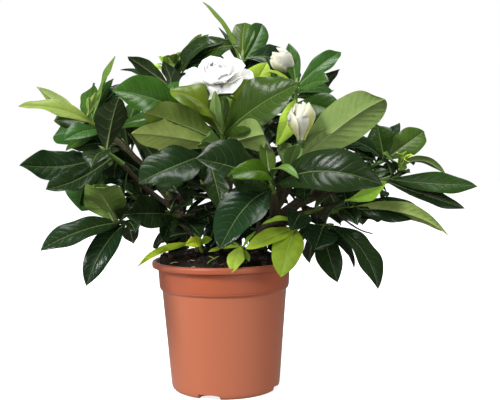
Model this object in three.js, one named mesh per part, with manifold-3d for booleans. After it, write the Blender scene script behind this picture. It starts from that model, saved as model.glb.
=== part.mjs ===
// A gardenia in a plastic nursery pot: the pot, its soil, three woody stems, leafy shoots,
// one open double bloom and two half-open buds.
// Millimetres, +Z up. The origin is under the middle of the pot and the front looks along -Y.
import * as THREE from 'three';
import { mergeVertices } from 'three/addons/utils/BufferGeometryUtils.js';
import Module from 'manifold-3d';

const wasm = await Module();
wasm.setup();
const { Manifold } = wasm;

// Driving dimensions
const GAP = 0.3; // between pieces that touch
const SLIVERS = [0.27, 0.2, 0.14, 0.1, 0.07, 0.05, 0.03]; // thinner slivers are cleaned away
const SAME_PLACE = 0.001; // corners nearer than this count as one

const POT = {
  height: 126,
  lipRadius: 70,
  lipHeight: 6,
  bandTopRadius: 64.3,
  bandLowRadius: 63.2,
  bandLow: 100,
  stepLow: 97,
  bodyTopRadius: 60.7,
  bodyLowRadius: 53,
  bodyLow: 5,
  footRadius: 50.5,
  footRingInner: 44,
  padRadius: 14,
  floorUnderside: 2,
  floorTop: 3.6,
  wall: 1.4,
  segments: 32,
};
const DRAIN = { count: 6, radius: 4, ringRadius: 29, sides: 6 };
const NOTCH = { count: 4, first: -18, width: 21, height: 4.6, depth: 16 };

const SOIL = { edge: 122, mound: 12, clearOfWall: GAP, relief: 1.5, rings: 4, segments: 22 };
const HOLE = { depthZ: 104, straightTo: 133, clear: 1.6, length: 60, sides: 8 }; // the stems stand in these
const CHIP = { count: 6, length: 9, width: 4, thickness: 2.2 };

const TRUNK = { radius: 4.4, sides: 7, steps: 4 };
const BRANCH = { radius: 2.6, sides: 5, steps: 3 };
const GREEN = { radius: 2, sides: 5, steps: 1 };
const SPROUT = { radius: 1.6, sides: 5, steps: 4 };
const NODE_GAP = 0.8; // between a woody branch and the green shoot that goes on from it
const YOUNG_BEND = 3; // how far a young tip goes straight on before it turns up
const STALK = { radius: 1.7, sides: 5, steps: 3 };

// A blade is thin at its edges and this thick along its midrib, 0.65 mm on the whole.
const BLADE = { thickness: 1.3, petiole: 1.1, fold: 0.22, wave: 0.16, waves: 13, shift: 2 };
const LEAF_OUTLINE = { rise: 1.3, fall: 0.85 };
const PETAL_OUTLINE = { rise: 0.9, fall: 0.42 };
const SEPAL_OUTLINE = { rise: 0.6, fall: 1 };
const SEPAL = { first: 20, opening: 96, length: 24, width: 4.5, arch: 0.02, below: 4 };
const PETAL_PLAY = { turn: 7, opening: 5, length: 0.06 }; // how far petals stray, by a seeded draw
const CUP = { height: 7, sunk: 2, sides: 6 };
const PETAL_STEP = { first: 3, next: 1 }; // how far up the axis each layer roots
const LONG_STATIONS = [0, 0.18, 0.42, 0.66, 0.87];
const SHORT_STATIONS = [0, 0.3, 0.65, 0.87];
const RULE_STATIONS = [0, 0.36, 0.74];
const PETAL_STATIONS = [0, 0.45, 0.8];
const SHORT_BLADE = 62; // blades from this length up have more stations
const ROOTING = { top: 0.86, span: 0.66 }; // shares of the green stem where leaves root

// Leaves that would cross something are bent clear of it, in steps of these angles, in degrees.
const BENDS = [3, 6, 10, 15, 21, 28];
const BEND_WAYS = 8;
const CLEARANCE = 0.4;
const OUTER_BLADE = 0.3; // blades of one shoot may touch inside this share of their length

const COLOURS = {
  pot: 0xc2694f,
  soil: 0x2a1e18,
  bark: 0x4a3a2a,
  dark: 0x24401f,
  mid: 0x3d6b28,
  olive: 0x7d9646,
  young: 0x93c238,
  petal: 0xf6f4ec,
  bud: 0xe6e6a8,
};

// The three rooted cuttings. Each stands in its own hole and carries the shoots named below.
const STEMS = {
  stem_mid: [[4, -12, HOLE.depthZ + GAP], [4, -12, 135], [5, -17, 160], [4, -22, 185]],
  stem_left: [[-24, 6, HOLE.depthZ + GAP], [-24, 6, 135], [-30, -2, 155], [-42, -10, 172]],
  stem_right: [[28, 6, HOLE.depthZ + GAP], [28, 6, 135], [36, 0, 150], [48, -8, 166]],
};

// Each shoot has the route of its woody branch, the head where its leaves meet, its colour,
// and its leaves from the youngest to the oldest: tip x, y, z, width, how many degrees the upper
// face is turned to the front (less than 0 shows the underside), and the arch as a share of length.
const SHOOTS = [
  {
    name: 'shoot_bloom', stem: 'stem_mid', colour: 'olive',
    branch: [[4, -21, 180], [3, -40, 205], [1, -57, 230]], head: [0, -70, 249],
    leaves: [
      [-5, -103, 284, 14, 20, -0.08], [-46, -36, 290, 26, 40, 0.22], [66, -107, 288, 36, 50, 0.14],
      [-2, -21, 284, 22, 20, 0.05], [14, -23, 285, 22, 20, 0.05], [-66, -111, 266, 32, -55, 0.06],
      [36, -132, 246, 30, -55, 0.05], [-77, -108, 249, 34, -60, 0.05], [-18, -118, 238, 20, -40, 0.1],
    ],
  },
  {
    name: 'shoot_front', stem: 'stem_right', colour: 'dark',
    branch: [[48, -8, 166], [48, -55, 182], [43, -108, 197]], head: [40, -130, 202],
    leaves: [
      [37, -99, 242, 14, 0, 0.05], [60, -164, 210, 14, 20, 0.3], [76, -106, 216, 12, 20, 0.05],
      [1, -160, 210, 20, 50, 0.3], [126, -174, 205, 42, 65, 0.05], [-21, -160, 226, 40, 60, 0.08],
      [-3, -179, 156, 40, 15, 0.12],
    ],
  },
  {
    name: 'shoot_bud', stem: 'stem_right', colour: 'olive',
    branch: [[48, -8, 166], [54, -50, 190], [56, -92, 208]], head: [57, -110, 216],
    leaves: [
      [94, -70, 240, 16, -50, 0.03], [133, -153, 274, 36, -65, 0.04],
      [54, -72, 240, 14, 10, 0.05], [61, -143, 238, 14, 10, 0.05], [88, -112, 252, 12, 10, 0.05],
    ],
  },
  {
    name: 'shoot_low_front', stem: 'stem_right', colour: 'young',
    branch: [[38, -1, 152], [52, -28, 154], [61, -45, 157]], head: [72, -60, 162],
    leaves: [
      [34, -81, 167, 10, 30, 0.15], [19, -88, 145, 22, 50, 0.06], [50, -89, 120, 28, 10, 0.16],
    ],
  },
  {
    name: 'shoot_left_low', stem: 'stem_left', colour: 'dark',
    branch: [[-40, -9, 169], [-65, -30, 166], [-82, -47, 166]], head: [-98, -60, 169],
    leaves: [
      [-109, -109, 205, 31, 0, 0.04], [-79, -97, 185, 20, 0, 0.05], [-76, -99, 163, 18, 0, 0.1],
      [-157, -104, 150, 28, 50, 0.06], [-120, -98, 117, 27, 25, 0.1], [-86, -18, 145, 16, 20, 0.05],
    ],
  },
  {
    name: 'shoot_left_mid', stem: 'stem_left', colour: 'dark',
    branch: [[-42, -10, 172], [-72, -20, 196], [-94, -32, 221]], head: [-109, -40, 234],
    leaves: [
      [-92, -64, 281, 32, 0, 0.04], [-113, -98, 220, 26, 0, 0.1], [-175, -84, 223, 32, 60, 0.12],
      [-154, -85, 201, 30, 50, 0.08], [-135, -18, 177, 26, 50, 0.05], [-105, 0, 204, 16, 20, 0.05],
    ],
  },
  {
    name: 'shoot_left_high', stem: 'stem_left', colour: 'mid',
    branch: [[-42, -10, 172], [-70, -10, 212], [-104, -16, 246]], head: [-125, -20, 261],
    leaves: [
      [-100, -10, 322, 14, 5, 0.03], [-127, 24, 299, 24, 40, 0.05], [-132, 17, 291, 18, 40, 0.05],
      [-175, -5, 295, 16, -50, -0.03], [-181, -62, 275, 21, 45, 0.1], [-141, -66, 243, 20, 30, 0.08],
      [-164, 6, 248, 34, 60, 0.05], [-142, -52, 234, 14, 30, 0.1],
    ],
    young: { top: [-122, -24, 270], leaves: [
      [-123, -34, 283, 5, 0, 0], [-117, -33, 287, 5, 0, 0], [-112, -31, 288, 5, 0, 0],
    ] },
  },
  {
    name: 'shoot_inner_left', stem: 'stem_mid', colour: 'dark',
    branch: [[4.5, -18, 165], [-4, -50, 190], [-9, -78, 214]], head: [-14, -95, 231],
    leaves: [
      [-68, -143, 208, 40, 45, 0.06], [-1, -127, 182, 20, 10, 0.08], [-54, -74, 195, 14, 30, 0.04],
    ],
  },
  {
    name: 'shoot_gloss', stem: 'stem_mid', colour: 'mid',
    branch: [[4, -21, 180], [-10, -18, 215], [-22, -16, 245]], head: [-30, -15, 268],
    leaves: [
      [-99, -47, 289, 44, 70, 0.08], [-105, 1, 255, 22, 40, 0.06], [-52, 20, 300, 22, 20, 0.08],
      [-8, 30, 292, 24, 20, 0.1],
    ],
  },
  {
    name: 'shoot_lower_left', stem: 'stem_left', colour: 'dark',
    branch: [[-36, -6, 163], [-42, -18, 167]], head: [-51, -40, 175],
    leaves: [
      [-43, -57, 189, 7, 0, 0.1], [-27, -80, 185, 24, 30, 0.06], [-85, -90, 178, 34, 60, 0.06],
      [-54, -68, 152, 16, 10, 0.08], [-20, -72, 155, 22, 10, 0.08],
    ],
  },
  {
    name: 'shoot_top', stem: 'stem_mid', colour: 'mid',
    branch: [[4, -22, 183], [12, -10, 235], [19, -3, 292]], head: [21, 0, 322],
    leaves: [
      [25, 39, 361, 24, 55, 0.05], [43, 40, 359, 20, 50, 0.05], [-16, 13, 377, 14, 10, 0.02],
      [-1, 23, 353, 12, 0, 0.02], [57, 48, 316, 28, 60, 0.1], [-40, 43, 313, 26, 50, 0.25],
      [15, 70, 312, 26, 20, 0.15],
    ],
  },
  {
    name: 'shoot_top_left', stem: 'stem_left', colour: 'dark',
    branch: [[-41, -9, 170], [-46, 20, 225], [-51, 48, 280]], head: [-53, 60, 308],
    leaves: [
      [-20, 76, 354, 20, 50, 0.04], [-46, 94, 332, 14, 10, 0.04], [-92, 24, 326, 22, -50, 0.04],
      [-106, 86, 319, 16, 10, 0.06], [-70, 118, 300, 26, 10, 0.12], [-20, 110, 305, 26, 20, 0.12],
    ],
    young: { top: [-52, 58, 318], leaves: [
      [-64, 41, 319, 9, 0, 0.1], [-55, 38, 328, 9, 0, 0.1], [-45, 40, 330, 9, 0, 0.1],
      [-36, 44, 327, 8, 0, 0.1],
    ] },
  },
  {
    name: 'shoot_right_top', stem: 'stem_right', colour: 'mid',
    branch: [[48, -8, 166], [58, -14, 215], [69, -22, 268]], head: [71, -25, 293],
    leaves: [
      [117, 2, 326, 22, 40, 0.08], [66, 3, 334, 10, 10, 0.03], [95, -69, 294, 26, 50, 0.06],
      [107, 9, 292, 22, 30, 0.05], [42, -57, 303, 18, 40, 0.12], [108, 24, 284, 34, 50, 0.08],
      [47, -93, 236, 19, 55, 0.06], [31, 6, 303, 18, 40, 0.02],
      [112, -48, 262, 30, 40, 0.08], [74, -75, 258, 24, 20, 0.08],
    ],
  },
  {
    name: 'shoot_right_end', stem: 'stem_right', colour: 'dark',
    branch: [[48, -8, 166], [95, -6, 186], [150, -10, 200]], head: [169, -10, 205],
    leaves: [
      [220, 2, 205, 14, -30, 0.2], [151, -32, 223, 16, 30, 0.1], [177, -30, 209, 10, 20, 0.05],
      [247, -10, 195, 24, 60, 0.04], [235, -10, 173, 18, 15, 0.04],
    ],
    young: { top: [172, -10, 213], leaves: [
      [184, -12, 225, 10, 20, 0.15], [176, -16, 229, 10, 20, 0.15], [170, -24, 217, 9, 20, 0.15],
    ] },
  },
  {
    name: 'shoot_right_back', stem: 'stem_right', colour: 'dark',
    branch: [[48, -8, 166], [95, 8, 190], [146, 25, 212]], head: [164, 30, 219],
    leaves: [
      [210, 59, 248, 30, 60, 0.06], [164, 76, 258, 30, 40, 0.08], [187, 70, 257, 14, 20, 0.05],
      [120, 2, 240, 24, 50, 0.1], [114, 32, 234, 14, 30, 0.1], [205, 80, 215, 26, 10, 0.1],
      [150, 92, 220, 28, 10, 0.12],
    ],
  },
  {
    name: 'shoot_right_low', stem: 'stem_right', colour: 'dark',
    branch: [[46, -7, 163], [70, -17, 160], [85, -24, 158]], head: [99, -30, 160],
    leaves: [
      [112, -56, 152, 10, 10, 0.05], [108, -72, 185, 20, 30, 0.08], [81, -79, 142, 34, 20, 0.06],
      [139, -72, 105, 30, 40, 0.04], [102, -72, 112, 24, 30, 0.08], [125, -22, 118, 15, 30, 0.1],
      [83, -2, 121, 16, 20, 0.05], [81, 17, 159, 16, 20, 0.05],
    ],
  },
  {
    name: 'shoot_right_mid', stem: 'stem_right', colour: 'dark',
    branch: [[48, -8, 166], [80, -12, 170], [105, -20, 172]], head: [122, -25, 176],
    leaves: [
      [116, 12, 195, 18, 20, 0.1], [197, -98, 156, 26, -35, 0.07], [188, -45, 170, 26, 50, 0.06],
      [122, -63, 163, 18, 20, 0.1], [159, 7, 165, 24, 50, 0.05],
    ],
  },
];

// Small sprouts that come up through the soil in holes of their own.
const SPROUTS = [
  {
    name: 'sprout_front', colour: 'young', stem: [[18, -40], [17, -45, 138]], head: [16, -48, 144],
    leaves: [
      [7, -70, 122, 15, 10, 0.12], [-14, -44, 138, 9, 30, 0.1], [23, -62, 131, 6, 10, 0.05],
      [30, -38, 156, 6, 10, 0.03], [7, -39, 147, 6, 10, 0.03],
    ],
  },
  {
    name: 'sprout_left', colour: 'young', stem: [[-20, -18], [-22, -22, 138]], head: [-23, -25, 145],
    leaves: [
      [-80, -48, 127, 12, 30, 0.2], [-35, -54, 146, 11, 40, 0.15], [-28, -38, 158, 9, 20, 0.05],
    ],
  },
];

// The shoots of the sides, the back and the inside. Their leaves follow a rule: a golden-angle
// spiral that opens from the young leaves at the head to the old ones below, with seeded variation.
const RULE_SHOOTS = [
  { name: 'inner_left_high', stem: 'stem_left', head: [-97, 28, 240], leaves: 7, longest: 60,
    branch: [[-42, -10, 172], [-64, 6, 198], [-83, 20, 221]] },
  { name: 'inner_left', stem: 'stem_left', head: [-62, -24, 226], leaves: 8, longest: 58,
    branch: [[-42, -10, 172], [-52, -14, 192]] },
  { name: 'inner_left_low', stem: 'stem_left', head: [-84, -8, 188], leaves: 8, longest: 50,
    branch: [[-38, -7, 166], [-58, -8, 174]] },
  { name: 'inner_low', stem: 'stem_mid', head: [-18, -36, 200], leaves: 7, longest: 55,
    branch: [[4.5, -18, 165], [-4, -25, 178]] },
  { name: 'inner_mid', stem: 'stem_right', head: [34, -36, 236], leaves: 9, longest: 60,
    branch: [[48, -8, 166], [43, -20, 200]] },
  { name: 'inner_right', stem: 'stem_right', head: [86, -46, 236], leaves: 9, longest: 60,
    branch: [[48, -8, 166], [66, -24, 200]] },
  { name: 'inner_right_mid', stem: 'stem_right', head: [104, -14, 208], leaves: 9, longest: 62,
    branch: [[48, -8, 166], [76, -11, 186]] },
  { name: 'inner_right_low', stem: 'stem_right', head: [88, -44, 176], leaves: 8, longest: 55,
    branch: [[42, -4, 158], [62, -24, 166]] },
  { name: 'inner_right_end', stem: 'stem_right', head: [140, 12, 186], leaves: 9, longest: 62,
    branch: [[46, -6, 163], [80, 4, 170], [112, 8, 177]] },
  { name: 'rear_left_low', stem: 'stem_left', head: [-50, 112, 170], leaves: 9, longest: 78,
    branch: [[-27, 2, 148], [-38, 45, 152], [-45, 76, 158]] },
  { name: 'rear_left_mid', stem: 'stem_left', head: [-120, 58, 210], leaves: 9, longest: 80,
    branch: [[-30, -2, 155], [-65, 22, 172], [-88, 38, 186]] },
  { name: 'rear_left_high', stem: 'stem_left', head: [-98, 62, 258], leaves: 9, longest: 80,
    branch: [[-41, -9, 170], [-66, 22, 210], [-80, 41, 231]] },
  { name: 'rear_mid_low', stem: 'stem_mid', head: [-4, 130, 192], leaves: 9, longest: 80,
    branch: [[5, -15, 150], [4, 30, 158], [0, 78, 173]] },
  { name: 'rear_mid_high', stem: 'stem_left', head: [-42, 112, 252], leaves: 9, longest: 80,
    branch: [[-41, -9, 170], [-44, 40, 208], [-43, 74, 229]] },
  { name: 'rear_top', stem: 'stem_mid', head: [26, 88, 282], leaves: 9, longest: 80,
    branch: [[4, -22, 183], [12, 20, 222], [19, 53, 251]] },
  { name: 'rear_right_low', stem: 'stem_right', head: [40, 120, 174], leaves: 9, longest: 78,
    branch: [[34, 2, 147], [36, 45, 152], [38, 84, 160]] },
  { name: 'rear_right_mid', stem: 'stem_right', head: [118, 88, 208], leaves: 9, longest: 80,
    branch: [[38, -1, 153], [72, 36, 170], [95, 64, 188]] },
  { name: 'rear_right_high', stem: 'stem_right', head: [98, 78, 262], leaves: 9, longest: 80,
    branch: [[48, -8, 166], [70, 26, 206], [86, 52, 235]] },
];
const SPIRAL = {
  turn: 137.5, firstOpening: 25, lastOpening: 100, shortest: 0.5, full: 0.4,
  droop: 0.16, slimness: 0.4, turnPlay: 24, lengthPlay: 0.12, facePlay: 25, arch: 0.07, archPlay: 0.1,
  upward: 1.3,
};

// Gaps that stay open in the crown as the front shows them: low x, low z, high x, high z on the
// plane through the pot's axis. Seen from the front, the leaves placed by rule keep out of them.
const OPEN_GAPS = [
  [-109, 169, -102, 198], [-70, 177, -60, 190], [-86, 225, -80, 234], [52, 179, 65, 189],
  [49, 167, 66, 178], [119, 245, 128, 253], [124, 150, 149, 158], [-82, 150, -59, 166],
  [81, 176, 88, 183], [-157, 220, -130, 227], [181, 187, 213, 192], [169, 181, 203, 186],
  [-111, 125, -72, 145], [111, 121, 124, 137], [98, 151, 119, 156],
];
const FRONT_VIEW = { distance: 875, height: 238 };

// Flowers: the root of the petals, the axis that they open round, and their layers. A layer has
// its count, first turn, opening from the axis, length, width and arch.
const FLOWERS = [
  {
    name: 'bloom', shoot: 'shoot_bloom', colour: 'petal', root: [-3, -55, 288], axis: [-0.1, -0.5, 0.86],
    stalk: [[0, -70, 248], [0, -62, 266]], calyx: 4.2, core: 4, coreLength: 9, sepals: 6,
    layers: [
      [6, 0, 84, 36, 34, 0.1], [5, 30, 58, 31, 30, 0.12], [4, 10, 32, 26, 24, 0.14],
    ],
  },
  {
    name: 'bud_front', shoot: 'shoot_bud', colour: 'bud', root: [67, -112, 240], axis: [0, 0, 1],
    stalk: [[57, -110, 215], [67, -112, 228]], calyx: 3.2, core: 5, coreLength: 20, sepals: 0,
    layers: [[4, 0, 20, 29, 20, 0.2]],
  },
  {
    name: 'bud_back', shoot: 'shoot_right_top', colour: 'bud', root: [71, -6, 306], axis: [-0.75, -0.25, 0.6],
    stalk: [[71, -25, 292], [74, -12, 300]], calyx: 3.2, core: 5, coreLength: 17, sepals: 0,
    layers: [[4, 20, 20, 26, 20, 0.2]],
  },
];

const UP = new THREE.Vector3(0, 0, 1);
const point = (p) => new THREE.Vector3(...p);
const radians = THREE.MathUtils.degToRad;
// The direction at an angle from one axis towards another that is square to it
const between = (from, to, angle) =>
  from.clone().multiplyScalar(Math.cos(angle)).addScaledVector(to, Math.sin(angle));

// One seeded draw after another, from -1 to 1.
let seed = 20;
function draw() {
  seed = (seed * 1664525 + 1013904223) % 4294967296;
  return seed / 2147483648 - 1;
}

// Solids and meshes
function solidOf(geometry) {
  const bare = geometry.clone();
  bare.deleteAttribute('normal');
  bare.deleteAttribute('uv');
  const merged = mergeVertices(bare, 1e-4);
  const vertProperties = merged.getAttribute('position').array;
  const triVerts = new Uint32Array(merged.index.array);
  return new Manifold(new wasm.Mesh({ numProp: 3, vertProperties, triVerts }));
}

function geometryOf(solid) {
  const mesh = solid.getMesh();
  const geometry = new THREE.BufferGeometry();
  geometry.setAttribute('position', new THREE.BufferAttribute(mesh.vertProperties, 3));
  geometry.setIndex(new THREE.BufferAttribute(mesh.triVerts, 1));
  return geometry;
}

// Whether two corners of a solid lie in one place, so that its surface touches itself there
function isPinched(solid) {
  const values = Array.from(solid.getMesh().vertProperties, (value) => Math.round(value / SAME_PLACE));
  const places = new Set();
  for (let i = 0; i < values.length; i += 3) places.add(values.slice(i, i + 3).join());
  return places.size < values.length / 3;
}

// Joins solids into one body, with the coarsest cleaning of slivers that leaves it unpinched.
// Loose scraps and the walls of sealed hollows are dropped.
function fuse(solids) {
  const whole = Manifold.union(solids).asOriginal();
  const cleaned = SLIVERS.map((size) => whole.simplify(size)).find((each) => !isPinched(each)) ?? whole;
  const bodies = cleaned.decompose();
  return bodies.reduce((best, body) => (body.volume() > best.volume() ? body : best));
}

const group = new THREE.Group();
function addMesh(name, solid, colour, roughness, metalness = 0) {
  const material = new THREE.MeshStandardMaterial({ color: COLOURS[colour], roughness, metalness });
  const mesh = new THREE.Mesh(geometryOf(solid), material);
  mesh.name = name;
  group.add(mesh);
}

// What the leaves have to stay clear of: solids with their boxes, each under its node's name.
const obstacles = [];
function boxOf(solid) {
  const { min, max } = solid.boundingBox();
  return new THREE.Box3(point(min), point(max));
}
function addObstacle(node, solid, outer = null) {
  obstacles.push({ node, solid, outer, box: boxOf(solid) });
}
function crosses(node, solid, outer) {
  const box = boxOf(solid);
  return obstacles.some((other) => {
    if (!box.intersectsBox(other.box)) return false;
    if (other.node !== node) return solid.intersect(other.solid).volume() > 0;
    return other.outer !== null && outer.intersect(other.outer).volume() > 0;
  });
}

// Tubes, from a list of points or a curve
function polygon(radius, sides) {
  const corner = (i) => {
    const angle = (2 * Math.PI * i) / sides;
    return new THREE.Vector2(radius * Math.cos(angle), radius * Math.sin(angle));
  };
  return new THREE.Shape(Array.from({ length: sides }, (_, i) => corner(i)));
}

function tube(points, { radius, sides, steps }) {
  const extrudePath = new THREE.CatmullRomCurve3(points.map(point));
  const section = polygon(radius, sides);
  return solidOf(new THREE.ExtrudeGeometry(section, { steps, bevelEnabled: false, extrudePath }));
}

// Blades: leaves, petals and sepals
function halfWidth(share, width, outline) {
  const widest = outline.rise / (outline.rise + outline.fall);
  const rise = (share / widest) ** outline.rise;
  const fall = ((1 - share) / (1 - widest)) ** outline.fall;
  return Math.max(BLADE.petiole, 0.5 * width * rise * fall);
}

// The upper face looks up, square to the blade, and is then turned to the front by face degrees.
function bladeFrame(root, tip, face) {
  const along = tip.clone().sub(root).normalize();
  const upper = UP.clone().addScaledVector(along, -UP.dot(along)).normalize();
  const side = along.clone().cross(upper);
  const turn = radians(side.y > 0 ? -face : face);
  const turned = between(upper, side, turn);
  return { along, upper: turned, side: along.clone().cross(turned) };
}

// Four points round the midrib at each station: left edge, upper rib, right edge, lower rib.
function bladeRings(blade, stations, spare) {
  const { root, tip, width, face, arch, outline } = blade;
  const { upper, side } = bladeFrame(root, tip, face);
  const length = root.distanceTo(tip);
  const middle = root.clone().add(tip).multiplyScalar(0.5).addScaledVector(upper, 2 * arch * length);
  const curve = new THREE.QuadraticBezierCurve3(root, middle, tip);
  return stations.map((share) => {
    const rib = curve.getPoint(share);
    const normal = side.clone().cross(curve.getTangent(share));
    const half = halfWidth(share, width, outline);
    const lift = BLADE.fold * half;
    const swing = BLADE.wave * half * share;
    const left = lift + swing * Math.sin(BLADE.waves * share);
    const right = lift + swing * Math.sin(BLADE.waves * share + BLADE.shift);
    const thick = BLADE.thickness / 2 + spare;
    return [
      rib.clone().addScaledVector(side, -half - spare).addScaledVector(normal, left),
      rib.clone().addScaledVector(normal, thick),
      rib.clone().addScaledVector(side, half + spare).addScaledVector(normal, right),
      rib.clone().addScaledVector(normal, -thick),
    ];
  });
}

// Both faces are split from each edge point to the next rib point, so that they can't cross.
function bladeSolid(blade, from = 0, spare = 0) {
  const stations = blade.stations.filter((share) => share >= from);
  const rings = bladeRings(blade, stations, spare);
  const positions = [...rings.flat(), blade.tip].flatMap((p) => [p.x, p.y, p.z]);
  const faces = [0, 3, 2, 0, 2, 1];
  for (let ring = 0; ring + 1 < rings.length; ring++) {
    const [left, top, right, low] = [0, 1, 2, 3].map((i) => 4 * ring + i);
    const [left2, top2, right2, low2] = [0, 1, 2, 3].map((i) => 4 * ring + 4 + i);
    faces.push(left, top, top2, left, top2, left2);
    faces.push(top, right, top2, right, right2, top2);
    faces.push(right, low, low2, right, low2, right2);
    faces.push(low, left, low2, left, left2, low2);
  }
  const last = 4 * (rings.length - 1);
  const tip = 4 * rings.length;
  for (let i = 0; i < 4; i++) faces.push(last + i, last + ((i + 1) % 4), tip);
  const geometry = new THREE.BufferGeometry();
  geometry.setAttribute('position', new THREE.Float32BufferAttribute(positions, 3));
  geometry.setIndex(faces);
  return solidOf(geometry);
}

// The places that a blade's tip may take: its own, then rings of bends round it.
function tipPlaces(blade) {
  const { along, upper, side } = bladeFrame(blade.root, blade.tip, blade.face);
  const length = blade.root.distanceTo(blade.tip);
  const places = [blade.tip];
  for (const bend of BENDS.map(radians)) {
    for (let way = 0; way < BEND_WAYS; way++) {
      const angle = (2 * Math.PI * way) / BEND_WAYS;
      const heading = between(along, between(upper, side, angle), bend);
      places.push(blade.root.clone().addScaledVector(heading, length));
    }
  }
  return places;
}

// Puts a blade in the first place where it is clear of everything, or leaves it out.
function placeBlade(node, blade) {
  for (const tip of tipPlaces(blade)) {
    const bent = { ...blade, tip };
    const outer = bladeSolid(bent, OUTER_BLADE, CLEARANCE);
    if (crosses(node, bladeSolid(bent, 0, CLEARANCE), outer)) continue;
    const solid = bladeSolid(bent);
    addObstacle(node, solid, bladeSolid(bent, OUTER_BLADE));
    return [solid];
  }
  return [];
}

// The line of sight through an open gap, widening from the front to the back of the crown.
function sightLine([lowX, lowZ, highX, highZ]) {
  const box = new THREE.BoxGeometry(highX - lowX, 320, highZ - lowZ);
  box.translate((lowX + highX) / 2, 40, (lowZ + highZ) / 2);
  const place = box.getAttribute('position');
  for (let i = 0; i < place.count; i++) {
    const spread = 1 + place.getY(i) / FRONT_VIEW.distance;
    place.setX(i, place.getX(i) * spread);
    place.setZ(i, FRONT_VIEW.height + (place.getZ(i) - FRONT_VIEW.height) * spread);
  }
  return solidOf(box);
}

// Leaves root inside their green stem, the youngest near its top.
function leafRoots(stem, count) {
  const curve = new THREE.CatmullRomCurve3(stem.map(point));
  const share = (i) => ROOTING.top - (ROOTING.span * i) / Math.max(count - 1, 4);
  return Array.from({ length: count }, (_, i) => curve.getPoint(share(i)));
}

function leafBlades(stem, leaves) {
  const roots = leafRoots(stem, leaves.length);
  return leaves.map(([x, y, z, width, face, arch], i) => {
    const tip = point([x, y, z]);
    const stations = roots[i].distanceTo(tip) < SHORT_BLADE ? SHORT_STATIONS : LONG_STATIONS;
    return { root: roots[i], tip, width, face, arch, outline: LEAF_OUTLINE, stations };
  });
}

function spiralBlades(stem, count, longest) {
  const roots = leafRoots(stem, count);
  const heading = point(stem.at(-1)).sub(point(stem[0])).normalize();
  const axis = heading.addScaledVector(UP, SPIRAL.upward).normalize();
  const right = axis.clone().cross(UP).normalize();
  const back = right.clone().cross(axis);
  return roots.map((root, i) => {
    const age = i / (count - 1);
    const turn = radians(SPIRAL.turn * i + SPIRAL.turnPlay * draw());
    const opening = radians(SPIRAL.firstOpening + (SPIRAL.lastOpening - SPIRAL.firstOpening) * age);
    const grown = SPIRAL.shortest + (1 - SPIRAL.shortest) * Math.min(1, age / SPIRAL.full);
    const length = longest * grown * (1 + SPIRAL.lengthPlay * draw());
    const way = between(axis, between(right, back, turn), opening);
    way.addScaledVector(UP, -SPIRAL.droop * age).normalize();
    const face = SPIRAL.facePlay * draw();
    const arch = SPIRAL.arch + SPIRAL.archPlay * Math.abs(draw());
    const tip = root.clone().addScaledVector(way, length);
    const width = SPIRAL.slimness * length;
    return { root, tip, width, face, arch, outline: LEAF_OUTLINE, stations: RULE_STATIONS };
  });
}

// Flowers
function flowerFrame({ root, axis }) {
  const heading = point(axis).normalize();
  const right = new THREE.Vector3(1, 0, 0).addScaledVector(heading, -heading.x).normalize();
  return { base: point(root), heading, right, back: heading.clone().cross(right) };
}

function rosette(frame, lift, [count, first, opening, length, width, arch], outline) {
  const root = frame.base.clone().addScaledVector(frame.heading, lift);
  return Array.from({ length: count }, (_, i) => {
    const turn = radians(first + (360 * i) / count + PETAL_PLAY.turn * draw());
    const open = radians(opening + PETAL_PLAY.opening * draw());
    const out = between(frame.right, frame.back, turn);
    const way = between(frame.heading, out, open);
    const tip = root.clone().addScaledVector(way, length * (1 + PETAL_PLAY.length * draw()));
    return { root, tip, width, face: 0, arch, outline, stations: PETAL_STATIONS };
  });
}

// A petal's upper face looks at the flower's axis, so its frame is turned there first.
function petalSolid(frame, blade) {
  const along = blade.tip.clone().sub(blade.root).normalize();
  const inward = frame.heading.clone().addScaledVector(along, -frame.heading.dot(along)).normalize();
  const { upper, side } = bladeFrame(blade.root, blade.tip, 0);
  const turn = Math.atan2(inward.dot(side), inward.dot(upper));
  const face = THREE.MathUtils.radToDeg(side.y > 0 ? -turn : turn);
  return bladeSolid({ ...blade, face });
}

function flowerSolid(flower) {
  const frame = flowerFrame(flower);
  const start = frame.base.clone().addScaledVector(frame.heading, GAP);
  const end = frame.base.clone().addScaledVector(frame.heading, flower.coreLength);
  const core = tube([start.toArray(), end.toArray()], { radius: flower.core, sides: CUP.sides, steps: 1 });
  const lift = (i) => PETAL_STEP.first + PETAL_STEP.next * i;
  const petals = flower.layers.flatMap((layer, i) => rosette(frame, lift(i), layer, PETAL_OUTLINE));
  return fuse([core, ...petals.map((petal) => petalSolid(frame, petal))]);
}

// The green stalk, cup and sepals under a flower belong to its shoot.
function calyxSolids(flower) {
  const frame = flowerFrame(flower);
  const cupLow = frame.base.clone().addScaledVector(frame.heading, -CUP.height);
  const stalkTop = cupLow.clone().addScaledVector(frame.heading, CUP.sunk);
  const stalk = tube([...flower.stalk, stalkTop.toArray()], STALK);
  const cupShape = { radius: flower.calyx, sides: CUP.sides, steps: 1 };
  const cup = tube([cupLow.toArray(), frame.base.toArray()], cupShape);
  const layer = [flower.sepals, SEPAL.first, SEPAL.opening, SEPAL.length, SEPAL.width, SEPAL.arch];
  const sepals = rosette(frame, -SEPAL.below, layer, SEPAL_OUTLINE);
  return [stalk, cup, ...sepals.map((sepal) => petalSolid(frame, sepal))];
}

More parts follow.
